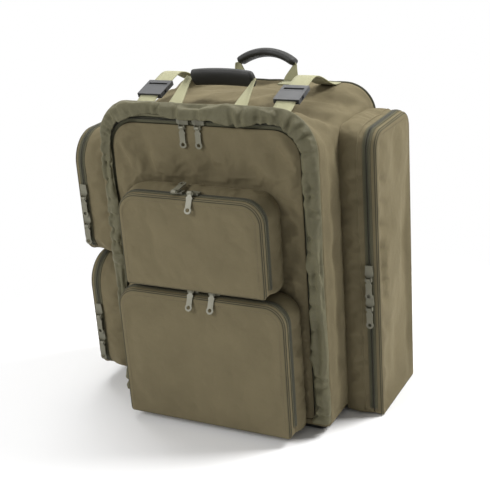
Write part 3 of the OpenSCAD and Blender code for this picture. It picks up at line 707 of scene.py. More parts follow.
def make_shell():
    shape = Outline(2 * SIDE_X, SHELL_TOP - SHELL_FOOT, TOP_R, BASE_R, 0.007)
    outer = shape.ring(FRONT_EDGE_R)
    half, foot = CHAIN_HALF + OPENING_OUT, PANEL_FOOT - 0.003 - SHELL_FOOT
    top = CHAIN_TOP + OPENING_OUT - SHELL_FOOT
    opening = np.clip(outer, [-half, foot], [half, top])
    opening_r = CHAIN_R + OPENING_OUT
    corner = np.array([half - opening_r, top - opening_r])
    past = np.maximum(np.column_stack([abs(opening[:, 0]), opening[:, 1]]) - corner, 0)
    far = np.linalg.norm(past, axis=1, keepdims=True)
    pull = np.where((past > 0).all(1, keepdims=True), past * (1 - opening_r / np.maximum(far, opening_r)), 0)
    opening -= pull * np.column_stack([np.sign(opening[:, 0]), np.ones(len(opening))])
    rows = []
    for t in np.linspace(0, 1, 5):
        ring = opening + (outer - opening) * t
        rows.append(np.column_stack([ring[:, 0], np.full(len(ring), FRONT_Y), ring[:, 1] + SHELL_FOOT]))
    r = FRONT_EDGE_R
    for a in np.radians([22.5, 45, 67.5]):
        rows.append(shell_ring(r * (1 - math.sin(a)), FRONT_Y + r * (1 - math.cos(a)), shape))
    wall = np.arange(FRONT_Y + FRONT_EDGE_R, BACK_Y - BACK_EDGE_R, 0.007)
    rows += [shell_ring(0, y, shape) for y in wall]
    rows += [back_edge_ring(a, shape) for a in np.linspace(0, 90, 7)]
    back_ring = shape.ring(BACK_EDGE_R)
    points, faces = flat_fill(back_ring[::-1] * [-1, 1], 0.012)
    back = np.column_stack([-points[:, 0], np.full(len(points), BACK_Y), points[:, 1] + SHELL_FOOT])
    patches = [skin(np.array(rows)[:, ::-1]), (back, faces, points)]
    obj = make("bag_shell", patches, bag_cloth, "bag", ["main_shell"], inner=lining_cloth)
    co = coords(obj)
    held = (co[:, 1] < FRONT_Y + FRONT_EDGE_R * 0.9) | (co[:, 1] > BACK_Y - BACK_EDGE_R * 0.5)
    held |= co[:, 2] < SHELL_FOOT + BASE_R
    for pocket in pockets[2:]:
        local = to_local(co, pocket.axes, pocket.origin)
        ring = pocket.outline.ring()
        on_side = local[:, 2] > -0.006
        held |= on_side & (inside(local[:, :2], ring) | (distance_to(local[:, :2], ring) < 0.005))
    for node in ("handle_tabs", "strap_front_webbing", "strap_rear_webbing"):
        feet = node_points(node)
        feet = feet[feet[:, 2] < SHELL_TOP + 0.004]
        held |= (co[:, 2] > SHELL_TOP - 0.002) & (distance_to(co[:, :2], feet[:, :2]) < 0.012)
    loose = np.clip(distance_to(co, co[held]) / 0.022, 0, 1) ** 1.5
    out = normals_of(obj)
    # The top corners slump between the frame at the front and the bound edge at the back
    depth = np.sin(math.pi * np.clip((co[:, 1] - FRONT_Y) / (BACK_Y - FRONT_Y), 0, 1))
    corner_x, corner_z = SIDE_X - TOP_R * 0.3, SHELL_TOP - TOP_R * 0.3
    to_corner = np.hypot(abs(co[:, 0]) - corner_x, co[:, 2] - corner_z)
    slump = 0.013 * depth * np.exp(-(to_corner / 0.06) ** 2)
    slump += 0.004 * depth * np.clip((co[:, 2] - SHELL_TOP + 0.01) / 0.01, 0, 1)
    wrinkles = fold_heights(co, SHELL_FOLDS) + 0.0018 * layered_noise(co, 0.05, 5)
    set_coords(obj, co + out * (loose * (wrinkles - slump))[:, None])
    hang_up(obj, held, pressure=1.6, slack=0.03, cap=0.009)
    return obj


# Front panel between the pockets and the main zip

# The panel's folds, with their ends as x and z
PANEL_FOLDS = [
    (0.064, 0.575, 0.075, 0.530, 0.012, 0.004),
    (0.132, 0.565, 0.185, 0.502, 0.014, -0.008),
    (0.152, 0.572, 0.188, 0.519, 0.011, 0.006),
    (0.100, 0.545, 0.143, 0.480, 0.016, 0.007),
    (0.142, 0.458, 0.191, 0.432, 0.008, -0.006),
    (0.150, 0.441, 0.191, 0.413, 0.008, 0.004),
    (0.155, 0.421, 0.191, 0.393, 0.008, -0.006),
    (0.156, 0.374, 0.188, 0.344, 0.008, -0.005),
    (-0.008, 0.530, 0.037, 0.478, 0.014, -0.007),
    (-0.126, 0.540, -0.099, 0.480, 0.011, -0.007),
    (-0.184, 0.543, -0.158, 0.494, 0.011, -0.005),
    (-0.100, 0.548, -0.051, 0.495, 0.018, 0.007),
    (-0.188, 0.454, -0.154, 0.420, 0.009, -0.005),
    (-0.188, 0.394, -0.154, 0.350, 0.009, 0.005),
    (0.160, 0.318, 0.189, 0.282, 0.008, 0.006),
    (0.176, 0.300, 0.187, 0.215, 0.006, -0.006),
    (0.188, 0.262, 0.176, 0.160, 0.006, 0.006),
    (0.177, 0.205, 0.187, 0.120, 0.006, -0.005),
    (0.186, 0.140, 0.178, 0.060, 0.006, 0.005),
]


def make_panel():
    w, h = panel_high.x - panel_low.x, panel_high.z - panel_low.z
    shape = Outline(w, h, CHAIN_R - 0.0085, 0.009, 0.007)
    origin = (0, PANEL_Y, PANEL_FOOT)
    edge = 0.004
    ring, inner = shape.ring(), shape.ring(edge)
    rim = np.stack([raised(ring, -0.003), raised(ring, -0.001), raised(inner, 0.0)])
    face = fill(inner, 0.0, 0.006)
    obj = make("front_panel_cloth", [skin(rim), face], bag_cloth, "panel", ["front_panel"],
               axes=FRONT, origin=origin, inner=lining_cloth)
    co = coords(obj)
    local = to_local(co, FRONT, origin)
    held = distance_to(local[:, :2], ring) < 0.006
    for pocket in pockets[:2]:
        flat = to_local(co, pocket.axes, pocket.origin)[:, :2]
        ring = pocket.outline.ring()
        held |= inside(flat, ring) | (distance_to(flat, ring) < 0.006)
    loose = np.clip(distance_to(co, co[held]) / 0.016, 0, 1)
    folds = [((a, PANEL_Y, b), (c, PANEL_Y, d), width, height) for a, b, c, d, width, height in PANEL_FOLDS]
    # The pulls of the main zip slide over the panel's top, which lies flat there but for its hollows
    lane_foot, lane_half = 0.515, 0.140
    flat = np.clip((co[:, 2] - lane_foot) / 0.02, 0, 1) * np.clip((lane_half - abs(co[:, 0])) / 0.02, 0, 1)
    lift = 0.004 * (1 - flat) + fold_heights(co, folds) + 0.0022 * layered_noise(local, 0.08, 77, 2)
    local[:, 2] += loose * np.clip(lift, -0.0045, 0.012 - 0.0105 * flat)
    set_coords(obj, to_world(local, FRONT, origin))
    hang_up(obj, held | (flat > 0.5), pressure=1.0, slack=0.03, cap=0.007)
    return obj


# Pockets: walls to the zip, a floor out to the face, and a lid with a rim, a crowned face and piping

def make_gusset(pocket):
    ring = pocket.outline.ring()
    out = ring_normals(ring)
    floor = floor_share(pocket, ring)
    reach = pocket.seam - ZIP_GAP / 2 + floor * (LID_RIM - 0.0045)
    rows = []
    count = max(6, round(pocket.seam / 0.006))
    start = np.zeros(len(ring))
    if pocket.body == "bag":
        start -= 0.004 + 0.012 * np.clip((ring[:, 1] + pocket.origin[2] - SHELL_TOP + TOP_R) / 0.02, 0, 1)
    flat = TAPE_W / pocket.seam
    for t in np.linspace(0, 1, count):
        at = raised(ring, start + (reach - start) * t)
        # The strip that the zip tape is sewn to lies flat
        arch = math.sin(math.pi * min(1, t / (1 - flat)))
        swell = 0.005 * arch * (1 - 0.7 * floor)
        crease = 0.0030 * layered_noise(at * [1, 1, 0.45], 0.035, pocket.seed) * arch
        rows.append(at + raised(out, 0.0) * (swell + crease * (1 - floor))[:, None])
    obj = make(pocket.name + "_pocket_walls", [skin(rows)], bag_cloth, pocket.body,
               [pocket.name + "_gusset"], axes=pocket.axes, origin=pocket.origin, inner=lining_cloth)
    local = to_local(coords(obj), pocket.axes, pocket.origin)
    held = (local[:, 2] < 0.004) | (local[:, 2] > pocket.seam - TAPE_W - 0.003) | (local[:, 1] < 0.004)
    hang_up(obj, held, pressure=1.0, slack=0.03, cap=0.005)
    return obj


def lid_rows(pocket):
    """Rows of points over a lid's rim and round its edge; the sixth is the bottom of the piping's groove."""
    ring = pocket.outline.ring()
    floor = floor_share(pocket, ring)
    start = pocket.seam + ZIP_GAP / 2 + floor * (LID_RIM - 0.006)
    edge_r = LID_EDGE_R * (1 - 0.6 * floor)
    rows = []
    for t in (0, 0.5):
        rows.append(raised(ring, start + (pocket.depth - edge_r - start) * t))
    for degrees, sunk in ((0, 0), (22, 0), (34, 0.0004), (45, 0.0016), (56, 0.0004), (68, 0), (90, 0)):
        a = math.radians(degrees)
        inner = pocket.outline.ring(LID_EDGE_R * (1 - math.cos(a)) + sunk * math.cos(a), keep_foot=True)
        inner[:, 1] += floor * 0.002 * (1 - math.cos(a))
        rows.append(raised(inner, pocket.depth - edge_r * (1 - math.sin(a)) - sunk * math.sin(a)))
    return rows


def make_lid(pocket):
    rows = lid_rows(pocket)
    face_ring = rows[-1][:, :2]
    face = fill(face_ring, pocket.depth, 0.0065)
    name = pocket.name + "_lid"
    obj = make(name + "_cloth", [skin(rows), face], bag_cloth, name, [name], axes=pocket.axes,
               origin=pocket.origin, inner=lining_cloth)
    co = coords(obj)
    local = to_local(co, pocket.axes, pocket.origin)
    gap = distance_to(local[:, :2], face_ring)
    free = inside(local[:, :2], face_ring) & (gap > 0.003) & (local[:, 2] > pocket.depth - 0.001)
    lift = 0.0012 * layered_noise(local, 0.07, pocket.seed + 5)
    if pocket.name == "right":
        # Open, the face lies just over the floor, so that its gathers go in rather than out
        lift = np.minimum(lift + pucker(local, pocket), 0.001)
    local[:, 2] += free * np.clip(gap / 0.015, 0, 1) * lift
    set_coords(obj, to_world(local, pocket.axes, pocket.origin))
    hang_up(obj, ~free, pressure=2.0, slack=0.010, cap=pocket.crown, stiff=2.0)
    make_piping(pocket, rows)
    return obj


def pucker(local, pocket):
    """The tall pocket's face is gathered along its zip, in lobes with creases between, and waves elsewhere."""
    lobe_pitch, lobe_middle, lobe_reach = 0.046, 0.018, 0.028
    from_zip, level = local[:, 0] + pocket.w / 2, local[:, 1]
    turns = level / lobe_pitch + from_zip / 0.09 + 0.8 * noise_over(61, level / 0.08)
    deep = 0.6 + 0.4 * noise_over(63, level / 0.06)
    creases = deep * (abs(np.sin(math.pi * turns)) - 1)
    waves = noise_over(62, level / 0.10, from_zip / 0.05)
    return 0.011 * creases * np.exp(-((from_zip - lobe_middle) / lobe_reach) ** 2) + 0.009 * (waves - 0.5)


def make_piping(pocket, rows):
    """Piping in the groove round a lid's edge, between two seam lines painted dark as the groove's shade."""
    centre = np.array([0, pocket.h / 2, pocket.seam])

    def cord(path, radius):
        out = unit(path - centre) @ pocket.axes
        return tube(to_world(path, pocket.axes, pocket.origin), radius, 8, True, out)
    body = pocket.name + "_lid"
    make(pocket.name + "_lid_piping", [cord(rows[5], PIPING_R)], piping_cloth, body)
    # The two seam lines take the dark binding colour as painted shade in the groove on each side of the piping
    shade_seams = [cord(rows[4], SHADE_SEAM_R), cord(rows[6], SHADE_SEAM_R)]
    make(pocket.name + "_lid_seams", shade_seams, binding_and_shade_cloth, body)


def upper_run(ring, foot):
    """The stretch of a ring that lies above its foot, in order."""
    keep = np.flatnonzero(ring[:, 1] > foot)
    breaks = np.flatnonzero(np.diff(keep) > 1)
    first = keep[breaks[0] + 1] if len(breaks) else keep[0]
    return ring[(first + np.arange(len(keep))) % len(ring)]


def lay_on(obj, path, lift):
    """A path moved onto an object's surface as modified, and the surface's normals there."""
    tree = bvhtree.BVHTree.FromObject(obj, bpy.context.evaluated_depsgraph_get())
    hits = [tree.find_nearest(Vector(p)) for p in path]
    out = np.array([hit[1] for hit in hits])
    return np.array([hit[0] for hit in hits]) + out * lift, out


def sew(pocket, walls, lid):
    """A stitched line inside a lid's edge, and on the tall pocket a seam along the zip."""
    ring = upper_run(pocket.outline.ring(LID_EDGE_R + 0.003, keep_foot=True), 0.016)
    path = resample(raised(ring, pocket.depth + 0.004), 0.004)
    path, out = lay_on(lid, to_world(path, pocket.axes, pocket.origin), 0.0002)
    body = pocket.name + "_lid"
    make(body + "_stitches", [stitches(path, out)], thread, body, weld=0)
    if pocket.name == "right":
        ring = upper_run(pocket.outline.ring(-0.012), 0.004)
        path = resample(raised(ring, pocket.seam - 0.014), 0.004)
        path, out = lay_on(walls, to_world(path, pocket.axes, pocket.origin), 0.0)
        seam = tube(path, WALL_SEAM_R, 6, False, out)
        make("right_wall_seam", [seam], piping_cloth, pocket.body)


# Zips: a ribbed tape and a row of teeth for each half

def zip_half(path, out, across, side, tape_w):
    """Patches of a zip half; across points from the chain to the tape's free edge when side is 1."""
    centre = path + across * (side * (ZIP_GAP / 2 + tape_w / 2)) + out * (TAPE_T / 2)
    tape = ribbon(centre, across, tape_w - ZIP_GAP, TAPE_T, out)
    points, ups, sides = resample(path, TOOTH_PITCH, out, across)
    ups, sides = unit(ups), unit(sides)
    along = tangents(points)
    points = points + along * (side * TOOTH_PITCH / 4)
    centres = points + sides * (side * (ZIP_GAP / 2 + TOOTH_W / 2))
    teeth = boxes(centres, along, sides, ups, (TOOTH_PITCH * 0.62, TOOTH_W, TOOTH_H - 0.0002), 0.0002)
    return tape, teeth


def pocket_zip_path(pocket):
    """The chain of a pocket's zip, from one end over the top to the other, with its ways out and across."""
    ring = pocket.outline.ring()
    normal = ring_normals(ring)
    up = ring[:, 1] >= ZIP_FOOT
    path, out = raised(ring[up], pocket.seam), raised(normal[up], 0.0)
    world, world_out = to_world(path, pocket.axes, pocket.origin), out @ pocket.axes
    world, world_out = resample(world, 0.004, world_out)
    return world, unit(world_out), np.broadcast_to(pocket.axes[2], world.shape)


def make_pocket_zips():
    for pocket in pockets:
        path, out, across = pocket_zip_path(pocket)
        for side, body, where in ((-1, pocket.body, "fixed"), (1, pocket.name + "_lid", "lid")):
            tape, teeth = zip_half(path, out, across, side, TAPE_W)
            node = [pocket.name + "_lid_zip_tape"] if side > 0 else []
            make(f"{pocket.name}_zip_tape_{where}", [tape], tape_cloth, body, node)
            make(f"{pocket.name}_zip_teeth_{where}", [teeth], teeth_plastic, body, weld=0)
            edge = path + across * (side * (TAPE_W - 0.0015)) + out * TAPE_T
            make(f"{pocket.name}_zip_stitches_{where}", [stitches(edge, out)], thread, body, weld=0)


def chain_outline():
    """The chain of the main zip as an upside-down U: points and ways out in the front plane."""
    shape = Outline(2 * CHAIN_HALF, CHAIN_TOP - PANEL_FOOT, CHAIN_R, 0.001)
    ring = shape.ring()
    normal = ring_normals(ring)
    keep = np.arange(3, len(ring) - max(2, round((shape.w - 0.002) / shape.step)) - 3 + 1)
    return ring[keep], normal[keep]


def make_main_zip():
    ring, normal = chain_outline()
    path = to_world(raised(ring, 0.0), FRONT, (0, FRONT_Y, PANEL_FOOT))
    across = raised(normal, 0.0) @ FRONT
    path, across = resample(path, 0.004, across)
    across = unit(across)
    out = np.broadcast_to(FRONT[2], path.shape)
    for side, body, where, width in ((1, "bag", "fixed", BODY_TAPE_W), (-1, "panel", "panel", PANEL_TAPE_W)):
        tape, teeth = zip_half(path, out, across, side, width)
        node = ["body_zip_tapes"] if side > 0 else ["panel_zip_tapes"]
        make(f"main_zip_tape_{where}", [tape], tape_cloth, body, node)
        make(f"main_zip_teeth_{where}", [teeth], teeth_plastic, body, weld=0)


# Gathered cover round the main zip

def smooth_ring(points, count):
    """A closed curve through a few points, with count points on it."""
    points = np.asarray(points, float)
    n = len(points)
    at = np.linspace(0, n, count, endpoint=False)
    k = at.astype(int)
    t = (at - k)[:, None]
    a, b, c, d = (points[(k + i) % n] for i in (-1, 0, 1, 2))
    return 0.5 * (2 * b + (c - a) * t + (2 * a - 5 * b + 4 * c - d) * t ** 2 + (3 * b - a - 3 * c + d) * t ** 3)


# The cover's section: a lip by the zip, as distance from the chain and height, and the rest by its share of
# the cover's width and height
COVER_LIP = [(0.0100, 0.0006), (0.0098, 0.0070), (0.0058, 0.0103), (0.0000, 0.0110), (-0.0040, 0.0113),
             (-0.0055, 0.0130), (-0.0042, 0.0147), (0.0020, 0.0162)]
COVER_REST = [(0.40, 0.0170), (0.66, 0.0160), (0.88, 0.0122), (0.99, 0.0060), (0.97, 0.0006), (0.60, 0.0004)]


def make_cover():
    chain, normal = chain_outline()
    shape = Outline(2 * SIDE_X, cover_high.z - PANEL_FOOT, TOP_R + cover_high.z - SHELL_TOP, 0.001)
    fine = resample(np.column_stack([chain, normal]), 0.0022)
    chain, normal = fine[:, :2], unit(fine[:, 2:])
    s = path_lengths(chain)
    # The outer edge is where the way out meets the cover's own outline
    outer = shape.ring()
    reach = np.empty(len(chain))
    for i, (p, n) in enumerate(zip(chain, normal)):
        ahead = (outer - p) @ n
        off = abs((outer - p) @ np.array([-n[1], n[0]]))
        off[ahead < 0.005] = 1
        reach[i] = ahead[off.argmin()]
    reach = np.convolve(np.pad(reach, 15, mode="edge"), np.ones(31) / 31, "valid")
    # It is rolled in low over the zip at the left, and drawn back from the zip along the top
    over = np.clip(normal[:, 1], 0, 1) ** 1.5
    rolled = np.clip(-normal[:, 0], 0, 1) ** 2
    reach = reach * (1 - 0.28 * rolled) + 0.003 * over
    back = 0.3 - 0.6 * rolled + 0.7 * over
    wave = 0.0022 * noise_over(311, s / 0.034)
    tip = COVER_LIP[5][0]
    count = 40
    rows = np.empty((len(chain), count, 3))
    ways = np.empty((len(chain), count, 2))
    for i in range(len(chain)):
        rest = [(share * reach[i], h) for share, h in COVER_REST]
        lip = [(x + back[i] * (0.0040 - tip - 0.6 * (x - tip)) + wave[i] * (h > 0.01), h) for x, h in COVER_LIP]
        section = smooth_ring(lip + rest, count) * [1, 1 - 0.25 * rolled[i]]
        rows[i, :, :2] = chain[i] + normal[i] * section[:, :1]
        rows[i, :, 2] = section[:, 1]
        ways[i] = unit(section - [0.42 * reach[i], 0.004])
    front = np.clip(rows[:, :, 2] / 0.012, 0, 1)
    share = np.linspace(0, 1, count)
    # Gathers: narrow pinches with a swell on each side, close and deep round the corners
    rng = np.random.default_rng(7)
    total = s[-1]
    arc = CHAIN_R * math.pi / 2
    legs = CHAIN_TOP - PANEL_FOOT - CHAIN_R
    corners = [legs + arc / 2, total - legs - arc / 2]
    push = np.zeros((len(chain), count))
    at = 0.015
    while at < total:
        near = max(math.exp(-((at - c) / 0.075) ** 2) for c in corners)
        width = 0.0050 - 0.0015 * near + rng.uniform(-0.0008, 0.0012)
        deep = (0.0050 - 0.0008 * near) * rng.uniform(0.5, 1.25)
        bend, lean = rng.uniform(-0.010, 0.010), rng.uniform(-0.010, 0.010)
        where = at + bend * (2 * share - 1) ** 2 + lean * (2 * share - 1)
        off = (s[:, None] - where[None]) / width
        fades = np.exp(-((share - rng.uniform(0.42, 0.72)) / rng.uniform(0.12, 0.26)) ** 2)
        push -= deep * fades * (1 - 0.55 * off ** 2) * np.exp(-0.5 * off ** 2)
        at += (0.036 - 0.026 * near) * rng.uniform(0.5, 1.5)
    along = np.broadcast_to(s[:, None], push.shape).ravel()
    width = np.tile(share, len(s))
    lumps = noise_over(303, along / 0.06, width * 2.2)
    # Sharp creases run along it, a little slantwise, two ways
    creases = 0.0
    for slant, pitch, seed, height in ((0.090, 0.080, 304, 0.0095), (-0.120, 0.055, 305, 0.0075)):
        ridge = noise_over(seed, (along + slant * width) / pitch, width * 5, 1.0)
        creases += height * (0.35 - abs(ridge))
    push += (0.0024 * lumps + creases).reshape(push.shape)
    calm = np.clip((share - 0.18) / 0.22, 0.4, 1)
    push *= (0.15 + 0.85 * front) * calm
    rows[:, :, 2] += push * ways[:, :, 1]
    rows[:, :, :2] += normal[:, None] * (push * ways[:, :, 0])[..., None]
    rows[:, :, 2] = np.maximum(rows[:, :, 2], 0.0004)
    obj = make("zip_cover_cloth", [capped(rows)], cover_cloth, "bag", ["zip_cover"], axes=FRONT,
               origin=(0, FRONT_Y, PANEL_FOOT))


# Bound edge of the shell's back

def make_back_binding(shell):
    shape = Outline(2 * SIDE_X, SHELL_TOP - SHELL_FOOT, TOP_R, BASE_R, 0.006)
    path, out = lay_on(shell, back_edge_ring(20, shape), 0.0)
    make("back_binding", [tube(path, BACK_BINDING_R, 8, True, out)], binding_and_shade_cloth, "bag")


# Base

def make_base():
    low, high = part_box("base_guard")
    shape = Outline(high.x - low.x, high.y - low.y, 0.012, 0.012, 0.008)
    edge = 0.003
    rows = []
    for inset, z in ((edge * 2, low.z), (edge * 0.3, low.z + edge * 0.4), (0, low.z + edge),
                     (0, high.z - 0.001), (edge, high.z)):
        rows.append(raised(shape.ring(inset) + [0, low.y], z))
    bottom, faces = flat_fill(shape.ring(edge * 2), 0.02)
    floor = raised(bottom + [0, low.y], low.z)
    top, top_faces = flat_fill(shape.ring(edge), 0.03)
    lid = raised(top + [0, low.y], high.z)
    obj = make("base_cloth", [skin(rows), (floor, [f[::-1] for f in faces], bottom), (lid, top_faces, top)],
               base_cloth, "bag", ["base_guard"])
    smooth(obj)


# Webbing: handles, their sewn ends and the top straps

@dataclass
class Handle:
    """A carry handle in its own frame: x, up from its fold and out of its front, leaning back from upright."""
    name: str
    lean: float
    bow_r: float

    def __post_init__(self):
        a = math.radians(self.lean)
        self.axes = np.array([[1, 0, 0], [0, math.sin(a), math.cos(a)], [0, -math.cos(a), math.sin(a)]])
        swing = next(j for j in frame["joints"] if j["name"] == self.name + "_handle_swing")
        self.fold = np.array(swing["pos_m"])
        legs = to_local(node_points(self.name + "_handle_webbing"), self.axes, self.fold)
        foot = abs(legs[legs[:, 1] < 0.0005, 0])
        self.foot = foot.min(), foot.max()
        grip = to_local(node_points(self.name + "_handle_grip"), self.axes, self.fold)
        self.middle = grip[:, 1].max() - GRIP_T / 2
        self.half = GRIP_L / 2 / self.bow_r

    def bow(self, t):
        """Points on the grip's middle line and the ways up there, for t from -1 to 1."""
        a = np.asarray(t) * self.half
        up = np.stack([np.sin(a), np.cos(a), np.zeros_like(a)], -1)
        return up * self.bow_r + [0, self.middle - self.bow_r, 0], up


def make_handle(handle):
    """Webbing legs that stand on their folds and close into the grip."""
    end, _ = handle.bow(1.0)
    foot_in, foot_out = handle.foot
    patches = []
    across = np.linspace(0, 1, 9)
    for sign in (-1, 1):
        rows = []
        for t in np.linspace(0, 1, 14):
            ease = t * t * (3 - 2 * t)
            inner = foot_in + (end[0] - 0.002 - foot_in) * ease
            outer = foot_out + (end[0] + 0.007 - foot_out) * t
            width = inner + (outer - inner) * across
            # The outer edge folds forward as the webbing narrows into the grip
            curl = 0.006 * ease * across ** 2
            height = end[1] * t + 0.003 * ease * (1 - 2 * across)
            front = np.column_stack([sign * width, height, WEBBING_T / 2 + curl])
            back = np.column_stack([sign * width, height, curl - WEBBING_T / 2])
            rows.append(np.vstack([front, back[::-1]]))
        rows = np.array(rows)
        if sign < 0:
            rows = rows[:, ::-1]
        patches.append(capped(rows))
        bead = np.array([[sign * x, 0, 0] for x in np.linspace(foot_in, foot_out, 6)])
        patches.append(tube(bead, FOLD_BEAD_R, 8))
    make(handle.name + "_handle_straps", patches, webbing_cloth, handle.name + "_handle",
         [handle.name + "_handle_webbing"], axes=handle.axes, origin=handle.fold)


def make_grip(handle):
    """Rubber grip: a bowed, flattened tube with rolled ends."""
    t = np.linspace(-1, 1, 45)
    path, up = handle.bow(t)
    ends = np.clip((1 - abs(t)) / 0.10, 0, 1)
    swell = (0.62 + 0.38 * np.sqrt(1 - (1 - ends) ** 2)) * (1 - 0.08 * abs(t) ** 3)
    angles = np.linspace(0, 2 * math.pi, 32, endpoint=False)
    rise = np.sign(np.cos(angles)) * abs(np.cos(angles)) ** 0.8 * GRIP_T / 2
    side = np.sign(np.sin(angles)) * abs(np.sin(angles)) ** 0.8 * GRIP_W / 2
    out = np.array([0, 0, 1.0])
    rows = path[:, None] + swell[:, None, None] * (up[:, None] * rise[:, None] + out * side[:, None])
    make(handle.name + "_handle_rubber", [capped(rows)], grip_rubber, handle.name + "_handle",
         [handle.name + "_handle_grip"], axes=handle.axes, origin=handle.fold)


def box_stitch(low, high, z):
    """Patches of a sewn box with a cross in it, on a flat level piece of webbing."""
    corners = np.array([[low[0], low[1], z], [high[0], low[1], z], [high[0], high[1], z], [low[0], high[1], z]])
    runs = [(0, 1), (1, 2), (2, 3), (3, 0), (0, 2), (1, 3)]
    up = np.array([[0, 0, 1.0], [0, 0, 1.0]])
    return [stitches(corners[list(run)], up, 0.0034, 0.0024) for run in runs]


def make_tabs():
    tabs = node_points("handle_tabs")
    patches, sewing = [], []
    for front in (True, False):
        some = tabs[(tabs[:, 1] < 0) == front]
        low, high = abs(some[:, 0]).min(), abs(some[:, 0]).max()
        y0, y1 = some[:, 1].min(), some[:, 1].max()
        z0, z1 = some[:, 2].min(), some[:, 2].max()
        near, far = (y0, y1) if front else (y1, y0)
        fold = near + np.sign(near - far) * (TAB_IN - FOLD_BEAD_R)
        for sign in (-1, 1):
            x = sign * (low + high) / 2
            # The webbing thins where it is pressed flat by its fold
            for start, end, thick in ((near, far, z1 - z0), (fold, near, 0.0006)):
                path = np.array([[x, y, z0 + thick / 2] for y in np.linspace(start, end, 8)])
                patches.append(ribbon(path, each((1, 0, 0), path), high - low, thick, each((0, 0, 1), path)))
            sewing += box_stitch((x - 0.011, y0 + 0.004), (x + 0.011, y1 - 0.004), z1)
    make("handle_tab_webbing", patches, webbing_cloth, "bag", ["handle_tabs"])
    make("handle_tab_stitches", sewing, pale_thread, "bag", weld=0)


def strap_path(points):
    """The middle line of a strap, from front to back: the corners of its solid lie in pairs."""
    corners = np.unique(np.round(points[:, 1:], 5), axis=0)
    return corners.reshape(-1, 2, 2).mean(1)


def make_straps():
    for end in ("front", "rear"):
        node, name = f"strap_{end}_webbing", f"strap_{end}_cloth"
        points = node_points(node)
        points = points[points[:, 0] > 0]
        low, high = points[:, 0].min(), points[:, 0].max()
        x = (low + high) / 2
        fine = resample(strap_path(points), 0.004)
        soft = soften(fine, 12)
        soft[:, 1] = np.maximum(soft[:, 1], SHELL_TOP + 0.0015)
        patches, sewing = [], []
        for sign in (-1, 1):
            path = np.column_stack([np.full(len(soft), sign * x), soft])
            across = each((1, 0, 0), path)
            patches.append(ribbon(path, across, high - low, WEBBING_T, np.cross(across, tangents(path))))
            foot = fine[0, 0] if end == "front" else fine[-1, 0] - 0.012
            sewing += box_stitch((sign * x - 0.014, foot + 0.001), (sign * x + 0.014, foot + 0.011),
                                 SHELL_TOP + 0.0028)
        make(name, patches, webbing_cloth, "bag", [node])
        make(name + "_stitches", sewing, pale_thread, "bag", weld=0)


# Back: padded panel with sewn channels, shoulder straps and their webbing

def make_back_pad():
    low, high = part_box("back_pad")
    w, h, depth = high.x - low.x, high.z - low.z, high.y - low.y
    shape = Outline(w, h, 0.050, 0.040, 0.007)
    origin = (0, low.y, low.z)
    edge = 0.009
    rows = []
    for inset, z in ((0, 0.0), (0, depth - edge - 0.003), (edge * 0.3, depth - edge * 0.35 - 0.003),
                     (edge, depth - 0.003)):
        rows.append(raised(shape.ring(inset), z))
    face_ring = shape.ring(edge)
    face = fill(face_ring, depth - 0.003, 0.007)
    obj = make("back_pad_cloth", [skin(rows), face], pad_cloth, "bag", ["back_pad"], axes=BACK,
               origin=origin)
    co = coords(obj)
    local = to_local(co, BACK, origin)
    held = ~(inside(local[:, :2], face_ring) & (distance_to(local[:, :2], face_ring) > 0.004))
    channels = [abs(abs(local[:, 0]) - 0.045)] + [abs(local[:, 1] - h * t) for t in (0.25, 0.5, 0.75)]
    for gap in channels:
        on = gap < 0.004
        held |= on
        local[:, 2] -= np.where(on & (local[:, 2] > depth - 0.004), 0.004, 0)
    set_coords(obj, to_world(local, BACK, origin))
    hang_up(obj, held, pressure=3.0, slack=0.02, cap=0.007)
    return obj


def make_shoulders():
    points = node_points("shoulder_pads")
    points = points[points[:, 0] > 0]
    x0, x1 = points[:, 0].min(), points[:, 0].max()
    z0, z1 = points[:, 2].min(), points[:, 2].max()
    y_in = points[:, 1].min()
    thick = points[points[:, 2] < z0 + 0.001][:, 1].max() - y_in
    bow = points[:, 1].max() - y_in - thick
    count, round_count = 44, 36
    t = np.linspace(0, 1, count)
    path = np.column_stack([np.zeros(count), y_in + thick / 2 + bow * np.sin(math.pi * t), z0 + (z1 - z0) * t])
    across = each((1, 0, 0), path)
    out = np.cross(tangents(path), across)
    half_w, half_t = (x1 - x0) / 2, thick / 2
    angles = np.linspace(0, 2 * math.pi, round_count, endpoint=False)
    for sign, side in ((-1, "left"), (1, "right")):
        rows = []
        for k in range(count):
            ends = min(1.0, min(t[k], 1 - t[k]) / 0.035)
            narrow = 0.86 + 0.14 * math.sqrt(max(0.0, 1 - (1 - ends) ** 2))
            quilt = 1 - 0.10 * (abs(math.sin(t[k] * math.pi * 5)) < 0.12)
            x = half_w * narrow * np.sign(np.cos(angles)) * abs(np.cos(angles)) ** 0.42
            z = half_t * quilt * (0.45 + 0.55 * math.sqrt(ends)) * np.sign(np.sin(angles))
            z *= abs(np.sin(angles)) ** 0.6
            rows.append(path[k] + [sign * (x0 + x1) / 2, 0, 0] + across[k] * x[:, None] + out[k] * z[:, None])
        rows = np.array(rows)
        obj = make(f"shoulder_pad_{side}", [capped(rows)], pad_cloth, "bag",
                   ["shoulder_pads"] if side == "left" else [])
        smooth(obj)
        bindings = [tube(rows[1:-1, edge], 0.0022, 8) for edge in (0, round_count // 2)]
        make(f"shoulder_binding_{side}", bindings, binding_and_shade_cloth, "bag")


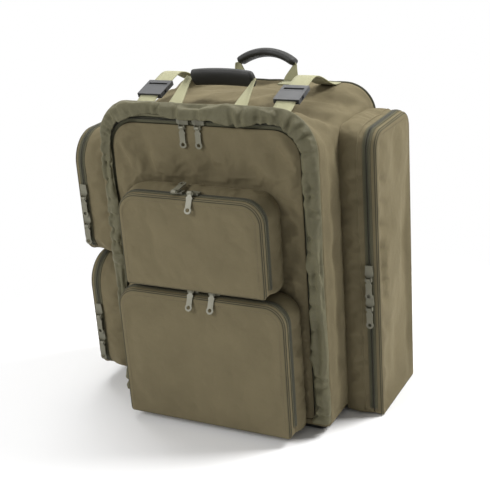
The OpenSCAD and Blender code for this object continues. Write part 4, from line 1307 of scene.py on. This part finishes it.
def make_shoulder_webbing():
    points = node_points("shoulder_webbing")
    points = points[points[:, 0] > 0]
    x = (points[:, 0].min() + points[:, 0].max()) / 2
    zs = np.unique(np.round(points[:, 2], 3))
    line = np.array([[points[abs(points[:, 2] - z) < 0.0016][:, 1].mean(), z] for z in zs])
    fine = soften(resample(line, 0.004), 6)
    patches = []
    for sign in (-1, 1):
        path = np.column_stack([np.full(len(fine), sign * x), fine])
        across = each((1, 0, 0), path)
        patches.append(ribbon(path, across, points[:, 0].max() - points[:, 0].min(), WEBBING_T,
                              np.cross(tangents(path), across)))
    make("shoulder_webbing_cloth", patches, dark_webbing, "bag", ["shoulder_webbing"])


# Hard parts that stay as the frame has them

def dress_hard_parts():
    for name, obj in nodes.items():
        if "slider" in name or "pull" in name:
            material, edge = zip_metal, 0.0006
        elif "buckle" in name or name == "ladder_locks":
            material, edge = buckle_plastic, 0.0009
        elif name == "stiffener_boards":
            material, edge = board_plastic, 0.0008
        else:
            continue
        obj.data.materials.clear()
        obj.data.materials.append(material)
        bevel = obj.modifiers.new("Rounded edges", "BEVEL")
        bevel.width = edge
        bevel.segments = 2
        bevel.limit_method = "ANGLE"
        bevel.harden_normals = False


# Stage, light and camera

CAMERA_AT = (0.928, -1.776, 1.051)
CAMERA_AZIMUTH, CAMERA_ELEVATION, CAMERA_ROLL = 27.846, 20.591, -4.295
FOCAL_PIXELS, FRAME_PIXELS = 1082.33, 490


def make_camera():
    a, e, roll = (math.radians(v) for v in (CAMERA_AZIMUTH, CAMERA_ELEVATION, CAMERA_ROLL))
    back = Vector((math.sin(a) * math.cos(e), -math.cos(a) * math.cos(e), math.sin(e)))
    right = Vector((math.cos(a), math.sin(a), 0))
    up = back.cross(right)
    right, up = right * math.cos(roll) + up * math.sin(roll), up * math.cos(roll) - right * math.sin(roll)
    camera = bpy.data.objects.new("Camera", bpy.data.cameras.new("Camera"))
    camera.data.sensor_width = 36
    camera.data.lens = FOCAL_PIXELS / FRAME_PIXELS * camera.data.sensor_width
    turn = Matrix((right, up, back)).transposed().to_4x4()
    camera.matrix_world = Matrix.Translation(CAMERA_AT) @ turn
    scene.collection.objects.link(camera)
    scene.camera = camera


def make_stage():
    """A pale floor that fades into white, and soft light from the right, the front left and above."""
    size = 12.0
    mesh = bpy.data.meshes.new("floor")
    corners = [(-size, -size, 0), (size, -size, 0), (size, size, 0), (-size, size, 0)]
    mesh.from_pydata(corners, [], [(0, 1, 2, 3)])
    floor = bpy.data.objects.new("floor", mesh)
    floor.location.z = -0.0005
    scene.collection.objects.link(floor)
    s = Shader("floor_paper", Roughness=0.9, Specular_IOR_Level=0.1)
    s.colour(s.blend(s.noise(3.0, 2), (0.90, 0.90, 0.90, 1), (0.93, 0.93, 0.93, 1)))
    away = s.node("ShaderNodeVectorMath", {"operation": "LENGTH"},
                  Vector=s.node("ShaderNodeNewGeometry").outputs["Position"]).outputs["Value"]
    seen = s.node("ShaderNodeLightPath").outputs["Is Camera Ray"]
    fade = s.math("MULTIPLY", s.spread(away, 0.34, 0.80), seen)
    mix = s.node("ShaderNodeMixShader", None, _0=fade, _1=s.bsdf.outputs[0],
                 _2=s.node("ShaderNodeBsdfTransparent").outputs[0])
    s.tree.links.new(mix.outputs[0], s.tree.nodes["Material Output"].inputs["Surface"])
    mesh.materials.append(s.material)
    world = bpy.data.worlds.new("studio")
    scene.world = world
    world.use_nodes = True
    tree = world.node_tree
    background = tree.nodes["Background"]
    background.inputs["Color"].default_value = (1, 1, 1, 1)
    path = tree.nodes.new("ShaderNodeLightPath")
    shown = path.outputs["Is Camera Ray"]
    for ray in ("Is Glossy Ray", "Is Transmission Ray"):
        either = tree.nodes.new("ShaderNodeMath")
        either.operation = "MAXIMUM"
        tree.links.new(shown, either.inputs[0])
        tree.links.new(path.outputs[ray], either.inputs[1])
        shown = either.outputs[0]
    level = tree.nodes.new("ShaderNodeMapRange")
    level.inputs["To Min"].default_value = 0.30
    tree.links.new(shown, level.inputs["Value"])
    tree.links.new(level.outputs["Result"], background.inputs["Strength"])
    target = Vector((0, 0, 0.3))
    for name, at, width, watts in (("key", (1.9, 1.2, 2.4), 1.1, 112), ("fill", (-1.6, -2.7, 2.1), 1.6, 74),
                                   ("top", (-0.8, 0.8, 2.8), 1.6, 46)):
        light = bpy.data.objects.new(name, bpy.data.lights.new(name, "AREA"))
        light.data.energy = watts
        light.data.size = width
        light.location = at
        light.rotation_euler = (target - Vector(at)).to_track_quat("-Z", "Y").to_euler()
        scene.collection.objects.link(light)
    scene.view_settings.view_transform = "Standard"


# Build

make_camera()
make_stage()
shell = make_shell()
panel = make_panel()
walls, lids = [], []
for pocket in pockets:
    walls.append(make_gusset(pocket))
    lids.append(make_lid(pocket))
make_pocket_zips()
make_main_zip()
make_cover()
make_base()
for handle in (Handle("front", 63, 0.420), Handle("rear", 18, 0.100)):
    make_handle(handle)
    make_grip(handle)
make_tabs()
make_straps()
back_pad = make_back_pad()
make_shoulders()
make_shoulder_webbing()
dress_hard_parts()
simulate(CLOTH_FRAMES)
for piece in (shell, panel, *walls, *lids):
    stand_on_floor(piece)
    thicken(piece)
make_back_binding(shell)
for pocket, wall, lid in zip(pockets, walls, lids):
    sew(pocket, wall, lid)
smooth(back_pad)
